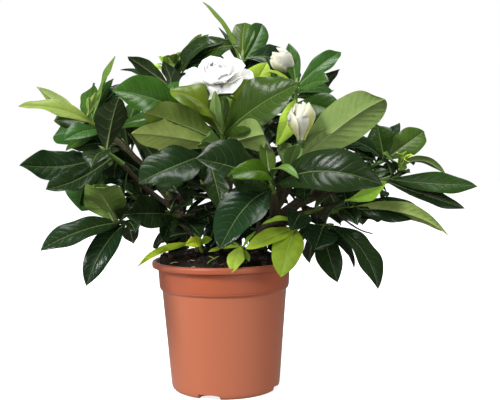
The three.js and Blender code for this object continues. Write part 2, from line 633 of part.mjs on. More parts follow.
// The pot: a lathe-turned wall with a rolled lip, a stepped band, a raised floor and a foot ring
function potProfile() {
  const lipLow = POT.height - POT.lipHeight;
  const inner = (radius) => radius - POT.wall;
  return [
    [0, 0], [POT.padRadius, 0], [POT.padRadius + 2, POT.floorUnderside],
    [POT.footRingInner - 2, POT.floorUnderside], [POT.footRingInner, 0], [POT.footRadius, 0],
    [POT.bodyLowRadius - 0.6, 2], [POT.bodyLowRadius, POT.bodyLow],
    [POT.bodyTopRadius, POT.stepLow], [POT.bandLowRadius, POT.bandLow], [POT.bandTopRadius, lipLow],
    [POT.lipRadius, lipLow], [POT.lipRadius, POT.height - 1.4],
    [POT.lipRadius - 1.4, POT.height], [POT.lipRadius - 3.6, POT.height],
    [inner(POT.bandTopRadius), lipLow],
    [inner(POT.bandLowRadius), POT.bandLow + 0.6], [inner(POT.bodyTopRadius), POT.stepLow],
    [inner(POT.bodyLowRadius), POT.floorTop + 1], [inner(POT.bodyLowRadius) - 1, POT.floorTop],
    [0, POT.floorTop],
  ];
}

function lathe(profile, segments) {
  const points = profile.map(([radius, z]) => new THREE.Vector2(radius, z));
  return new THREE.LatheGeometry(points, segments).rotateX(Math.PI / 2);
}

function drainCuts() {
  return Array.from({ length: DRAIN.count }, (_, i) => {
    const angle = (2 * Math.PI * (i + 0.5)) / DRAIN.count;
    const hole = new THREE.CylinderGeometry(DRAIN.radius, DRAIN.radius, 3 * POT.floorTop, DRAIN.sides);
    hole.rotateX(Math.PI / 2);
    hole.translate(DRAIN.ringRadius * Math.cos(angle), DRAIN.ringRadius * Math.sin(angle), POT.floorTop);
    return solidOf(hole);
  });
}

function notchCuts() {
  return Array.from({ length: NOTCH.count }, (_, i) => {
    const cut = new THREE.BoxGeometry(NOTCH.width, NOTCH.depth, 2 * NOTCH.height);
    cut.translate(0, -POT.footRadius, 0);
    cut.rotateZ(radians(NOTCH.first + (360 * i) / NOTCH.count));
    return solidOf(cut);
  });
}

function potSolid() {
  const turned = solidOf(lathe(potProfile(), POT.segments));
  return [...drainCuts(), ...notchCuts()].reduce((body, cut) => body.subtract(cut), turned);
}

// The soil fills the pot and is heaped a little over the rim in the middle and towards the left.
function soilTop(x, y) {
  const share = Math.hypot(x, y) / POT.bandLowRadius;
  const heap = SOIL.mound * Math.max(0, 1 - share * share) ** 0.8;
  const lumps = Math.sin(x * 0.31 + 1) * Math.cos(y * 0.27) + Math.sin(x * 0.13 - y * 0.19 + 2);
  return SOIL.edge + heap + SOIL.relief * lumps * Math.min(1, 3 * (1 - share));
}

function soilSolid() {
  const inner = (radius) => radius - POT.wall - SOIL.clearOfWall;
  const edge = inner(POT.bandTopRadius) - 0.2;
  const profile = [
    [0, POT.floorTop + GAP], [inner(POT.bodyLowRadius) - 1, POT.floorTop + GAP],
    [inner(POT.bodyLowRadius), POT.floorTop + 2], [inner(POT.bodyTopRadius), POT.stepLow],
    [inner(POT.bandLowRadius), POT.bandLow + 1], [edge, SOIL.edge - 1],
  ];
  for (let ring = 1; ring < SOIL.rings; ring++) profile.push([edge * (1 - ring / SOIL.rings), SOIL.edge]);
  profile.push([0, SOIL.edge]);
  const geometry = lathe(profile, SOIL.segments);
  const place = geometry.getAttribute('position');
  for (let i = 0; i < place.count; i++) {
    if (place.getZ(i) > SOIL.edge - 0.5) place.setZ(i, soilTop(place.getX(i), place.getY(i)));
  }
  return solidOf(geometry);
}

// Bark chips lie half sunk in the soil.
function chipSolids() {
  return Array.from({ length: CHIP.count }, () => {
    const angle = Math.PI * draw();
    const radius = 40 + 14 * draw();
    const [x, y] = [radius * Math.cos(angle), radius * Math.sin(angle)];
    const size = 1 + 0.3 * draw();
    const chip = new THREE.BoxGeometry(size * CHIP.length, size * CHIP.width, CHIP.thickness);
    chip.rotateX(0.4 * draw());
    chip.rotateZ(Math.PI * draw());
    chip.translate(x, y, soilTop(x, y) + 0.2);
    return solidOf(chip);
  });
}

function holeCut([x, y], radius) {
  const bore = (radius + HOLE.clear) / Math.cos(Math.PI / HOLE.sides);
  const hole = new THREE.CylinderGeometry(bore, bore, HOLE.length, HOLE.sides);
  hole.rotateX(Math.PI / 2);
  hole.translate(x, y, HOLE.depthZ + HOLE.length / 2);
  return solidOf(hole);
}

// The green part of a shoot goes on from its woody branch, a small gap further on.
function beyond(from, to, distance) {
  const heading = point(to).sub(point(from)).normalize();
  return point(to).addScaledVector(heading, distance).toArray();
}

function greenRoute({ branch, head }) {
  return [beyond(branch.at(-2), branch.at(-1), NODE_GAP), head];
}

function youngRoute({ branch, head, young }) {
  return [beyond(branch.at(-1), head, NODE_GAP), beyond(branch.at(-1), head, YOUNG_BEND), young.top];
}

function stemSolid(name, shoots) {
  const branches = shoots.filter((shoot) => shoot.stem === name).map((shoot) => tube(shoot.branch, BRANCH));
  return fuse([tube(STEMS[name], TRUNK), ...branches]);
}

function placeShoot(name, colour, solids, blades) {
  const leaves = blades.flatMap((blade) => placeBlade(name, blade));
  addMesh(name, fuse([...solids, ...leaves]), colour, 0.35);
}

// Building: first what the leaves have to stay clear of, then the leaves, the front ones first.
const shoots = [...SHOOTS, ...RULE_SHOOTS];

const pot = potSolid();
addMesh('pot', pot, 'pot', 0.5);
addObstacle('pot', pot);

const sproutHoles = SPROUTS.map((sprout) => holeCut(sprout.stem[0], SPROUT.radius));
const stemHoles = Object.values(STEMS).map(([foot]) => holeCut(foot, TRUNK.radius));
const heap = fuse([soilSolid(), ...chipSolids()]);
const soil = fuse([[...stemHoles, ...sproutHoles].reduce((body, cut) => body.subtract(cut), heap)]);
addMesh('soil', soil, 'soil', 0.95);
addObstacle('soil', soil);

for (const name of Object.keys(STEMS)) {
  const solid = stemSolid(name, shoots);
  addMesh(name, solid, 'bark', 0.85);
  addObstacle(name, solid);
}

const flowersOf = (name) => FLOWERS.filter((flower) => flower.shoot === name);
for (const flower of FLOWERS) {
  const solid = flowerSolid(flower);
  addMesh(flower.name, solid, flower.colour, 0.6);
  addObstacle(flower.name, solid);
}

const greens = new Map();
for (const shoot of shoots) {
  const solids = [tube(greenRoute(shoot), GREEN), ...flowersOf(shoot.name).flatMap(calyxSolids)];
  greens.set(shoot.name, solids);
  for (const solid of solids) addObstacle(shoot.name, solid);
}
for (const sprout of SPROUTS) {
  const [[x, y], ...rest] = sprout.stem;
  const route = [[x, y, HOLE.depthZ + GAP], [x, y, HOLE.straightTo], ...rest, sprout.head];
  greens.set(sprout.name, [tube(route, SPROUT)]);
  addObstacle(sprout.name, greens.get(sprout.name)[0]);
}
for (const shoot of SHOOTS.filter((each) => each.young)) {
  const stub = tube(youngRoute(shoot), SPROUT);
  greens.set(`${shoot.name}_tip`, [stub]);
  addObstacle(`${shoot.name}_tip`, stub);
}

for (const shoot of SHOOTS) {
  const route = greenRoute(shoot);
  placeShoot(shoot.name, shoot.colour, greens.get(shoot.name), leafBlades(route, shoot.leaves));
  if (!shoot.young) continue;
  const tip = `${shoot.name}_tip`;
  placeShoot(tip, 'young', greens.get(tip), leafBlades(youngRoute(shoot), shoot.young.leaves));
}
for (const sprout of SPROUTS) {
  const route = [sprout.stem.at(-1), sprout.head];
  placeShoot(sprout.name, sprout.colour, greens.get(sprout.name), leafBlades(route, sprout.leaves));
}
for (const gap of OPEN_GAPS) addObstacle('open_gap', sightLine(gap));
for (const shoot of RULE_SHOOTS) {
  const route = greenRoute(shoot);
  placeShoot(shoot.name, 'dark', greens.get(shoot.name), spiralBlades(route, shoot.leaves, shoot.longest));
}

export default group;
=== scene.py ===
import math
import random
from collections.abc import Sequence
from dataclasses import dataclass
from functools import cached_property
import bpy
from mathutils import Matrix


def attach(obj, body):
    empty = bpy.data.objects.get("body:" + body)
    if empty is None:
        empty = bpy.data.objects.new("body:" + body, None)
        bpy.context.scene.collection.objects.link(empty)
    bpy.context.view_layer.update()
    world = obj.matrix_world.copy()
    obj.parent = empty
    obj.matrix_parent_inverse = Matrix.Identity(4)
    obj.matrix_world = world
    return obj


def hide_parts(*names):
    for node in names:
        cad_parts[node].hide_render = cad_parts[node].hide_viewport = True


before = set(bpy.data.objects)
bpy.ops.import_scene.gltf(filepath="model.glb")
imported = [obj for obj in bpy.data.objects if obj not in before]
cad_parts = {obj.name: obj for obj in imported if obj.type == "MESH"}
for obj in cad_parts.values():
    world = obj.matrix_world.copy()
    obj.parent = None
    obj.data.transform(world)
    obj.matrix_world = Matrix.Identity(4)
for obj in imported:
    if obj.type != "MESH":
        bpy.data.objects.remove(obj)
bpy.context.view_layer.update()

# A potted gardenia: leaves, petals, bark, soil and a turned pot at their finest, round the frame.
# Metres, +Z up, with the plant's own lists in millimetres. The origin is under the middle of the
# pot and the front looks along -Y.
from types import SimpleNamespace as Sizes

import bpy
import numpy as np
from mathutils import Matrix, Vector, noise
from mathutils.bvhtree import BVHTree

BODY = "root"
UP = np.array([0.0, 0.0, 1.0])

# The view of the front: a camera that leans and turns a little, for an image 500 wide
CAMERA = Sizes(place=(0.0, -0.875, 0.238), turn=1.7177, dip=3.598, roll=0.8, lens=64.8, sensor=36.0)

# Soft lamps: place, width and power. All of them shine on the middle of the crown.
LAMPS = dict(
    key=((-0.85, -1.0, 1.15), 0.42, 25.0),
    fill=((0.9, -1.5, 0.55), 1.0, 10.0),
    top=((0.1, 0.15, 1.5), 0.7, 16.0),
    side=((-1.3, -0.2, 0.40), 0.6, 6.0),
)
LIT_PLACE = (0.0, 0.0, 0.22)
# The light of the room. It grows from below to above, as the height of its direction goes from low to
# high, and reflections take a share of it.
ROOM = Sizes(below=0.42, above=0.66, low=-0.3, high=0.5, reflected=0.15, backdrop=1.0)
FLOOR = Sizes(width=8.0, glow=0.78, grey=0.8, roughness=0.9)

# The pot, as radii and heights
POT = Sizes(
    height=0.126, lip_radius=0.070, lip_height=0.006, band_top_radius=0.0643, band_low_radius=0.0632,
    band_low=0.100, step_low=0.097, body_top_radius=0.0607, body_low_radius=0.053, body_low=0.005,
    foot_radius=0.0505, foot_ring_inner=0.044, pad_radius=0.014, floor_underside=0.002,
    floor_top=0.0036, wall=0.0014, groove=0.0007, floor_end=0.004, segments=128, smooth_to=35,
)
DRAIN = Sizes(count=6, radius=0.004, ring_radius=0.029, depth=0.03, sides=24)
NOTCH = Sizes(count=4, first=-18, width=0.021, height=0.0046, depth=0.016)
# The clearance between the soil and the wall of the pot
TOUCH = 0.0003

# The heap of soil: its edge, its middle, a bank on one side, and lumps of two sizes, each with its
# scale, roughness, number of octaves and height
SOIL = Sizes(edge=0.122, mound=0.012, relief=0.0015, bank=205, bank_height=0.01, segments=150, rings=46)
SOIL_LUMPS = ((110, 1.0, 3, 0.0016), (420, 0.8, 4, 0.0011))

# Bark chips and crumbs on the soil: length, width and height, how many shapes they come in, their
# number, and how far out they lie
CHIPS = (
    Sizes(size=(0.008, 0.0042, 0.0022), shapes=4, seed=0, count=150, spread=0.058, tint="chip",
          finish=1),
    Sizes(size=(0.0022, 0.0019, 0.0017), shapes=3, seed=10, count=1100, spread=0.0605, tint="soil",
          finish=0),
)
CHIP_PLAY = Sizes(
    size=(0.45, 1.25), lean=0.45, tip=0.35, colour=0.45, lift=0.0004, bevel=0.22, corner=0.16,
)

# Twigs: their radii, the sides of their tubes, how far the rounded ends reach by their radius, and the
# relief of the bark
TRUNK_RADIUS = 0.0044
BRANCH_RADIUS = 0.0026
GREEN_RADIUS = 0.0019
SPROUT_RADIUS = 0.0013
STALK_RADIUS = 0.0017
TWIG_RADIUS = 0.0011
FIBRE_RADII = 0.00035 * np.array([0.6, 1, 1.1, 1, 0.9, 1, 0.5])
SEEDLING_RADII = 0.0003 * np.array([1.1, 1, 1, 0.9, 0.8, 0.7])
BUD_RADII = np.array([0.0012, 0.0017, 0.0016, 0.0011, 0.0004])
CALYX_FORM = np.array([0.42, 0.6, 0.78, 0.9, 1.0, 1.02, 0.8])
SIDES = Sizes(trunk=18, branch=14, twig=10, fine=8, thread=6, calyx=24)
POLES = Sizes(start=0.4, end=0.6)
BARK_RELIEF = Sizes(scale=300, wood=0.00028, dry=0.0002, seed=7)
WOOD = Sizes(ring_step=0.004, knot=0.1, knot_rate=260)
GREEN_FORM = Sizes(knot=0.22, foot=1.15, taper=0.35)

# Where a green stem starts past its branch and a young one bends, how deep both are rooted, and the
# length of the bud on their end
NODE_GAP = 0.0008
YOUNG_BEND = 0.003
ROOTED = 0.0022
TERMINAL_BUD = 0.006

# The outlines of blades, as the powers that their width rises and falls with, and the least half width
# near the root and the tip
LEAF_OUTLINE = (1.3, 0.92)
PETAL_OUTLINE = (0.9, 0.42)
SEPAL_OUTLINE = (0.6, 1.0)
PETIOLE_HALF = 0.0009
TIP_HALF = 0.0002

# How the solids bend the tip of a leaf out of the way of others
ROOTING = Sizes(top=0.86, span=0.66)
BENDS = (3, 6, 10, 15, 21, 28)
BEND_WAYS = 8
SAME_PLACE = 0.0004
GENTLE_BEND = 10


def metres(values):
    """A length, a point or a route in metres, from millimetres."""
    return np.array(values, float) / 1000


@dataclass(frozen=True)
class Shoot:
    """A shoot in millimetres. Its path follows the woody branch to the head where its leaves meet.

    Leaves go from the youngest to the oldest: tip x, y, z, width, degrees that the upper face turns to
    the front, and arch by length. A shoot of the sides, the back or the inside has a count of leaves
    and the length of its longest, and its leaves follow a rule.
    """

    name: str
    stem: str
    path: Sequence
    tone: str = "dark"
    leaves: Sequence = ()
    young_top: Sequence = ()
    young: Sequence = ()
    count: int = 0
    longest: float = 0

    @property
    def branch(self):
        return metres(self.path[:-1])

    @property
    def head(self):
        return metres(self.path[-1])


# The three rooted cuttings, which stand in holes of the soil
HOLE_FLOOR = 104.3
HOLE_STRAIGHT_TO = 133
STEMS = {
    "stem_mid": [(4, -12, HOLE_FLOOR), (4, -12, 135), (5, -17, 160), (4, -22, 185)],
    "stem_left": [(-24, 6, HOLE_FLOOR), (-24, 6, 135), (-30, -2, 155), (-42, -10, 172)],
    "stem_right": [(28, 6, HOLE_FLOOR), (28, 6, 135), (36, 0, 150), (48, -8, 166)],
}

# The shoots that show from the front
SHOOTS = [
    Shoot("shoot_bloom", "stem_mid", tone="olive", path=[
        (4, -21, 180), (3, -40, 205), (1, -57, 230), (0, -70, 249),
    ], leaves=[
        (-5, -103, 284, 11, 20, -0.08), (-46, -36, 290, 30, 40, 0.22), (66, -107, 288, 45, 50, 0.1),
        (-2, -21, 284, 22, 20, 0.05), (14, -23, 285, 22, 20, 0.05), (-66, -111, 266, 32, -55, 0.06),
        (36, -132, 246, 30, -55, 0.05), (-77, -108, 249, 34, -60, 0.05), (-18, -118, 238, 20, -40, 0.1),
    ]),
    Shoot("shoot_front", "stem_right", tone="dark", path=[
        (48, -8, 166), (48, -55, 182), (43, -108, 197), (40, -130, 202),
    ], leaves=[
        (37, -99, 242, 14, 0, 0.05), (60, -164, 210, 14, 20, 0.3), (76, -106, 216, 12, 20, 0.05),
        (1, -160, 210, 20, 50, 0.3), (126, -174, 205, 40, 65, 0.2), (-21, -160, 226, 50, 60, 0.08),
        (-3, -179, 156, 40, 15, 0.12),
    ]),
    Shoot("shoot_bud", "stem_right", tone="olive", path=[
        (48, -8, 166), (54, -50, 190), (56, -92, 208), (57, -110, 216),
    ], leaves=[
        (94, -70, 240, 16, -50, 0.03), (133, -153, 274, 39, -65, 0.2), (54, -72, 240, 14, 10, 0.05),
        (61, -143, 238, 14, 10, 0.05), (88, -112, 252, 12, 10, 0.05),
    ]),
    Shoot("shoot_low_front", "stem_right", tone="young", path=[
        (38, -1, 152), (52, -28, 154), (61, -45, 157), (72, -60, 162),
    ], leaves=[
        (34, -81, 167, 10, 30, 0.15), (19, -88, 145, 16, 50, 0.06), (50, -89, 120, 28, 10, 0.16),
    ]),
    Shoot("shoot_left_low", "stem_left", tone="dark", path=[
        (-40, -9, 169), (-65, -30, 166), (-82, -47, 166), (-98, -60, 169),
    ], leaves=[
        (-109, -109, 205, 36, 0, 0.04), (-79, -97, 185, 20, 0, 0.05), (-76, -99, 163, 18, 0, 0.1),
        (-157, -104, 150, 28, 50, 0.1), (-120, -98, 117, 24.5, 25, 0.16), (-86, -18, 145, 16, 20, 0.05),
    ]),
    Shoot("shoot_left_mid", "stem_left", tone="dark", path=[
        (-42, -10, 172), (-72, -20, 196), (-94, -32, 221), (-109, -40, 234),
    ], leaves=[
        (-92, -64, 281, 32, 0, 0.04), (-113, -98, 220, 26, 0, 0.1), (-175, -84, 223, 32, 60, -0.15),
        (-154, -85, 201, 27, 50, -0.12), (-135, -18, 177, 30, 50, 0.2), (-105, 0, 204, 16, 20, 0.05),
    ]),
    Shoot("shoot_left_high", "stem_left", tone="mid", path=[
        (-42, -10, 172), (-70, -10, 212), (-104, -16, 246), (-125, -20, 261),
    ], leaves=[
        (-100, -10, 322, 14, 5, 0.03), (-127, 24, 299, 24, 40, 0.05), (-132, 17, 291, 18, 40, 0.05),
        (-175, -5, 295, 16, -50, -0.03), (-181, -62, 275, 21, 45, 0.1), (-141, -66, 243, 20, 30, 0.08),
        (-164, 6, 248, 34, 60, 0.05), (-142, -52, 234, 14, 30, 0.1),
    ], young_top=(-122, -24, 270), young=[
        (-123, -34, 283, 5, 0, 0), (-117, -33, 287, 5, 0, 0), (-112, -31, 288, 5, 0, 0),
    ]),
    Shoot("shoot_inner_left", "stem_mid", tone="dark", path=[
        (4.5, -18, 165), (-4, -50, 190), (-9, -78, 214), (-14, -95, 231),
    ], leaves=[
        (-68, -143, 208, 40, 45, 0.06), (-1, -127, 182, 20, 10, 0.08), (-54, -74, 195, 14, 30, 0.04),
    ]),
    Shoot("shoot_gloss", "stem_mid", tone="mid", path=[
        (4, -21, 180), (-10, -18, 215), (-22, -16, 245), (-30, -15, 268),
    ], leaves=[
        (-99, -47, 289, 44, 70, 0.08), (-105, 1, 255, 22, 40, 0.06), (-52, 20, 300, 22, 20, 0.08),
        (-8, 30, 292, 24, 20, 0.1),
    ]),
    Shoot("shoot_lower_left", "stem_left", tone="dark", path=[
        (-36, -6, 163), (-42, -18, 167), (-51, -40, 175),
    ], leaves=[
        (-43, -57, 189, 7, 0, 0.1), (-27, -80, 185, 24, 30, 0.06), (-85, -90, 178, 34, 60, 0.06),
        (-54, -68, 152, 16, 10, 0.08), (-20, -72, 155, 22, 10, 0.08),
    ]),
    Shoot("shoot_top", "stem_mid", tone="mid", path=[
        (4, -22, 183), (12, -10, 235), (19, -3, 292), (21, 0, 322),
    ], leaves=[
        (25, 39, 361, 22, 55, 0.05), (43, 40, 359, 23, 50, 0.05), (-16, 13, 377, 11, 10, 0.06),
        (-1, 23, 353, 12, 0, 0.02), (57, 48, 316, 28, 60, 0.1), (-40, 43, 313, 26, 50, 0.25),
        (15, 70, 312, 26, 20, 0.15),
    ]),
    Shoot("shoot_top_left", "stem_left", tone="dark", path=[
        (-41, -9, 170), (-46, 20, 225), (-51, 48, 280), (-53, 60, 308),
    ], leaves=[
        (-20, 76, 354, 14, 50, 0.04), (-46, 94, 332, 14, 10, 0.04), (-92, 24, 326, 17, -50, 0.04),
        (-106, 86, 319, 16, 10, 0.06), (-70, 118, 300, 26, 10, 0.12), (-20, 110, 305, 26, 20, 0.12),
    ], young_top=(-52, 58, 318), young=[
        (-64, 41, 319, 9, 0, 0.1), (-55, 38, 328, 9, 0, 0.1), (-45, 40, 330, 9, 0, 0.1),
        (-36, 44, 327, 8, 0, 0.1),
    ]),
    Shoot("shoot_right_top", "stem_right", tone="mid", path=[
        (48, -8, 166), (58, -14, 215), (69, -22, 268), (71, -25, 293),
    ], leaves=[
        (117, 2, 326, 19, 40, 0.08), (66, 3, 334, 15, 10, 0.03), (95, -69, 294, 26, 50, 0.06),
        (107, 9, 292, 22, 30, 0.05), (42, -57, 303, 18, 40, 0.12), (108, 24, 284, 28, 50, 0.04),
        (47, -93, 236, 19, 55, 0.06), (31, 6, 303, 18, 40, 0.02), (112, -48, 262, 30, 40, 0.08),
        (74, -75, 258, 24, 20, 0.08),
    ]),
    Shoot("shoot_right_end", "stem_right", tone="dark", path=[
        (48, -8, 166), (95, -6, 186), (150, -10, 200), (169, -10, 205),
    ], leaves=[
        (220, 2, 205, 14, -30, 0.31), (151, -32, 223, 16, 30, 0.1), (177, -30, 209, 10, 20, 0.05),
        (247, -10, 195, 24, 60, -0.04), (235, -10, 173, 18, 15, -0.03),
    ], young_top=(172, -10, 213), young=[
        (184, -12, 225, 10, 20, 0.15), (176, -16, 229, 10, 20, 0.15), (170, -24, 217, 9, 20, 0.15),
    ]),
    Shoot("shoot_right_back", "stem_right", tone="dark", path=[
        (48, -8, 166), (95, 8, 190), (146, 25, 212), (164, 30, 219),
    ], leaves=[
        (210, 59, 248, 30, 60, 0.06), (164, 76, 258, 30, 40, 0.08), (187, 70, 257, 14, 20, 0.05),
        (120, 2, 240, 24, 50, 0.1), (114, 32, 234, 14, 30, 0.1), (205, 80, 215, 26, 10, 0.1),
        (150, 92, 220, 28, 10, 0.12),
    ]),
    Shoot("shoot_right_low", "stem_right", tone="dark", path=[
        (46, -7, 163), (70, -17, 160), (85, -24, 158), (99, -30, 160),
    ], leaves=[
        (112, -56, 152, 10, 10, 0.05), (108, -72, 185, 20, 30, 0.08), (81, -79, 142, 34, 20, 0.06),
        (139, -72, 105, 34, 40, 0.2), (102, -72, 112, 24, 30, 0.08), (125, -22, 118, 26, 30, 0.1),
        (83, -2, 121, 16, 20, 0.05), (81, 17, 159, 16, 20, 0.05),
    ]),
    Shoot("shoot_right_mid", "stem_right", tone="dark", path=[
        (48, -8, 166), (80, -12, 170), (105, -20, 172), (122, -25, 176),
    ], leaves=[
        (116, 12, 195, 18, 20, 0.1), (197, -98, 156, 24, -35, 0.13), (188, -45, 170, 26, 50, 0.06),
        (122, -63, 163, 18, 20, 0.1), (159, 7, 165, 24, 50, 0.05),
    ]),
]

# Small sprouts that come up through the soil
SPROUTS = [
    Sizes(name="sprout_front", foot=(18, -40), path=[(17, -45, 138), (16, -48, 144)], leaves=[
        (7, -70, 122, 15, 10, 0.12), (-14, -44, 138, 9, 30, 0.1), (23, -62, 131, 6, 10, 0.05),
        (30, -38, 156, 6, 10, 0.03), (7, -39, 147, 6, 10, 0.03),
    ]),
    Sizes(name="sprout_left", foot=(-20, -18), path=[(-22, -22, 138), (-23, -25, 145)], leaves=[
        (-80, -48, 127, 11, 30, 0.11), (-35, -54, 146, 11, 40, 0.15), (-28, -38, 158, 9, 20, 0.05),
    ]),
]

# Shoots of the sides, the back and the inside, whose leaves follow a rule
RULE_SHOOTS = [
    Shoot("inner_left_high", "stem_left", count=7, longest=60,
          path=[(-42, -10, 172), (-64, 6, 198), (-83, 20, 221), (-97, 28, 240)]),
    Shoot("inner_left", "stem_left", count=8, longest=58,
          path=[(-42, -10, 172), (-52, -14, 192), (-62, -24, 226)]),
    Shoot("inner_left_low", "stem_left", count=8, longest=50,
          path=[(-38, -7, 166), (-58, -8, 174), (-84, -8, 188)]),
    Shoot("inner_low", "stem_mid", count=7, longest=55,
          path=[(4.5, -18, 165), (-4, -25, 178), (-18, -36, 200)]),
    Shoot("inner_mid", "stem_right", count=9, longest=60,
          path=[(48, -8, 166), (43, -20, 200), (34, -36, 236)]),
    Shoot("inner_right", "stem_right", count=9, longest=60,
          path=[(48, -8, 166), (66, -24, 200), (86, -46, 236)]),
    Shoot("inner_right_mid", "stem_right", count=9, longest=62,
          path=[(48, -8, 166), (76, -11, 186), (104, -14, 208)]),
    Shoot("inner_right_low", "stem_right", count=8, longest=55,
          path=[(42, -4, 158), (62, -24, 166), (88, -44, 176)]),
    Shoot("inner_right_end", "stem_right", count=9, longest=62,
          path=[(46, -6, 163), (80, 4, 170), (112, 8, 177), (140, 12, 186)]),
    Shoot("rear_left_low", "stem_left", count=9, longest=78,
          path=[(-27, 2, 148), (-38, 45, 152), (-45, 76, 158), (-50, 112, 170)]),
    Shoot("rear_left_mid", "stem_left", count=9, longest=80,
          path=[(-30, -2, 155), (-65, 22, 172), (-88, 38, 186), (-120, 58, 210)]),
    Shoot("rear_left_high", "stem_left", count=9, longest=80,
          path=[(-41, -9, 170), (-66, 22, 210), (-80, 41, 231), (-98, 62, 258)]),
    Shoot("rear_mid_low", "stem_mid", count=9, longest=80,
          path=[(5, -15, 150), (4, 30, 158), (0, 78, 173), (-4, 130, 192)]),
    Shoot("rear_mid_high", "stem_left", count=9, longest=80,
          path=[(-41, -9, 170), (-44, 40, 208), (-43, 74, 229), (-42, 112, 252)]),
    Shoot("rear_top", "stem_mid", count=9, longest=80,
          path=[(4, -22, 183), (12, 20, 222), (19, 53, 251), (26, 88, 282)]),
    Shoot("rear_right_low", "stem_right", count=9, longest=78,
          path=[(34, 2, 147), (36, 45, 152), (38, 84, 160), (40, 120, 174)]),
    Shoot("rear_right_mid", "stem_right", count=9, longest=80,
          path=[(38, -1, 153), (72, 36, 170), (95, 64, 188), (118, 88, 208)]),
    Shoot("rear_right_high", "stem_right", count=9, longest=80,
          path=[(48, -8, 166), (70, 26, 206), (86, 52, 235), (98, 78, 262)]),
]
SPIRAL = Sizes(
    turn=137.5, first_opening=25, last_opening=100, shortest=0.5, full=0.4, droop=0.16, slimness=0.4,
    turn_play=24, length_play=0.12, face_play=25, arch=0.07, arch_play=0.1, upward=1.3,
    young_to=0.3,
)

# Small things on the soil, and a dry twig among the leaves
FIBRES = [
    [(-50, -42, 127.5), (-46, -45, 129.2), (-40, -44, 128.5)],
    [(-35, -46, 129), (-30, -48, 131.2), (-24, -47, 128.5)],
    [(-31, -55, 125), (-27, -56, 126.2), (-22, -55, 124.8)],
    [(4, -54, 125.5), (9, -55, 127.2), (12, -52, 125.8)],
    [(30, 36, 128.5), (22, 42, 130.5), (14, 44, 128)],
    [(-40, 30, 129), (-34, 38, 130), (-26, 40, 129)],
]
DRY_TWIG = [(105, -20, 172), (117, -22, 163), (124, -26, 158), (131, -28, 154), (141, -30, 151)]
SEEDLING = Sizes(
    path=[(-16, -50, 126.2), (-14, -52, 130), (-9, -53, 133)], leaf=(4.5, -2, 2.5), width=1.6, arch=0.08,
)
# The draws that the solids spend on the chips of their soil
CHIP_DRAWS = 30

# Gaps of the crown where the photograph shows the background, as left, low, right and high
OPEN_GAPS = metres([
    (-109, 169, -102, 198), (-70, 177, -60, 190), (-86, 225, -80, 234), (52, 179, 65, 189),
    (49, 167, 66, 178), (119, 245, 128, 253), (124, 150, 149, 158), (-82, 150, -59, 166),
    (81, 176, 88, 183), (-157, 220, -130, 227), (181, 187, 213, 192), (169, 181, 203, 186),
    (-111, 125, -72, 145), (111, 121, 124, 137), (98, 151, 119, 156),
]).tolist()

# Flowers: where the petals root, the axis they open round, and their layers. A layer has its count,
# first turn, opening from the axis, length, width and arch.
FLOWERS = [
    Sizes(name="bloom", shoot="shoot_bloom", root=(-3, -55, 288), axis=(-0.1, -0.5, 0.86),
          stalk=[(0, -70, 248), (0, -62, 266)], calyx=4.2, sepals=6,
          length=26, radius=11,
          layers=[(6, 0, 84, 36, 34, 0.1), (5, 30, 58, 31, 30, -0.06), (4, 10, 32, 26, 26, -0.2)]),
    Sizes(name="bud_front", shoot="shoot_bud", root=(67, -112, 240), axis=(0, 0, 1),
          stalk=[(57, -110, 215), (67, -112, 228)], calyx=3.2, sepals=0,
          length=31, radius=11.5,
          layers=[(4, 0, 20, 29, 20, 0.2)]),
    Sizes(name="bud_back", shoot="shoot_right_top", root=(71, -6, 306), axis=(-0.75, -0.25, 0.6),
          stalk=[(71, -25, 292), (74, -12, 300)], calyx=3.2, sepals=0,
          length=28, radius=10.5,
          layers=[(4, 20, 20, 26, 20, 0.2)]),
]
SEPALS = Sizes(first=20, opening=96, length=0.024, width=0.0045, arch=0.02, below=0.004)
PETAL_PLAY = Sizes(turn=7, opening=5, length=0.06)
PETAL_STEP = Sizes(first=0.003, next=0.001)
CUP = Sizes(height=0.007, sunk=0.002, ribs=(6, 0.09))
# The form of a furled petal: its grid, how wide its foot is, where it is widest, and its folds and edges
FURL = Sizes(
    rows=16, columns=12, foot=0.24, widest=0.72, fold=0.02, curl=0.14, overlap=0.06, rounding=0.2,
    thickness=0.0005,
)


@dataclass(frozen=True)
class Furled:
    """A petal wrapped round its flower's axis, with lengths as shares of the flower's own.

    The angle is from the flower's right round its back, in degrees. Span is how far it wraps to each
    side and twist how far it turns on the way up, in radians. It closes in again near the top.
    """

    angle: float
    span: float
    long: float
    out: float
    close: float
    twist: float = 0.5
    tint: str = "bud"


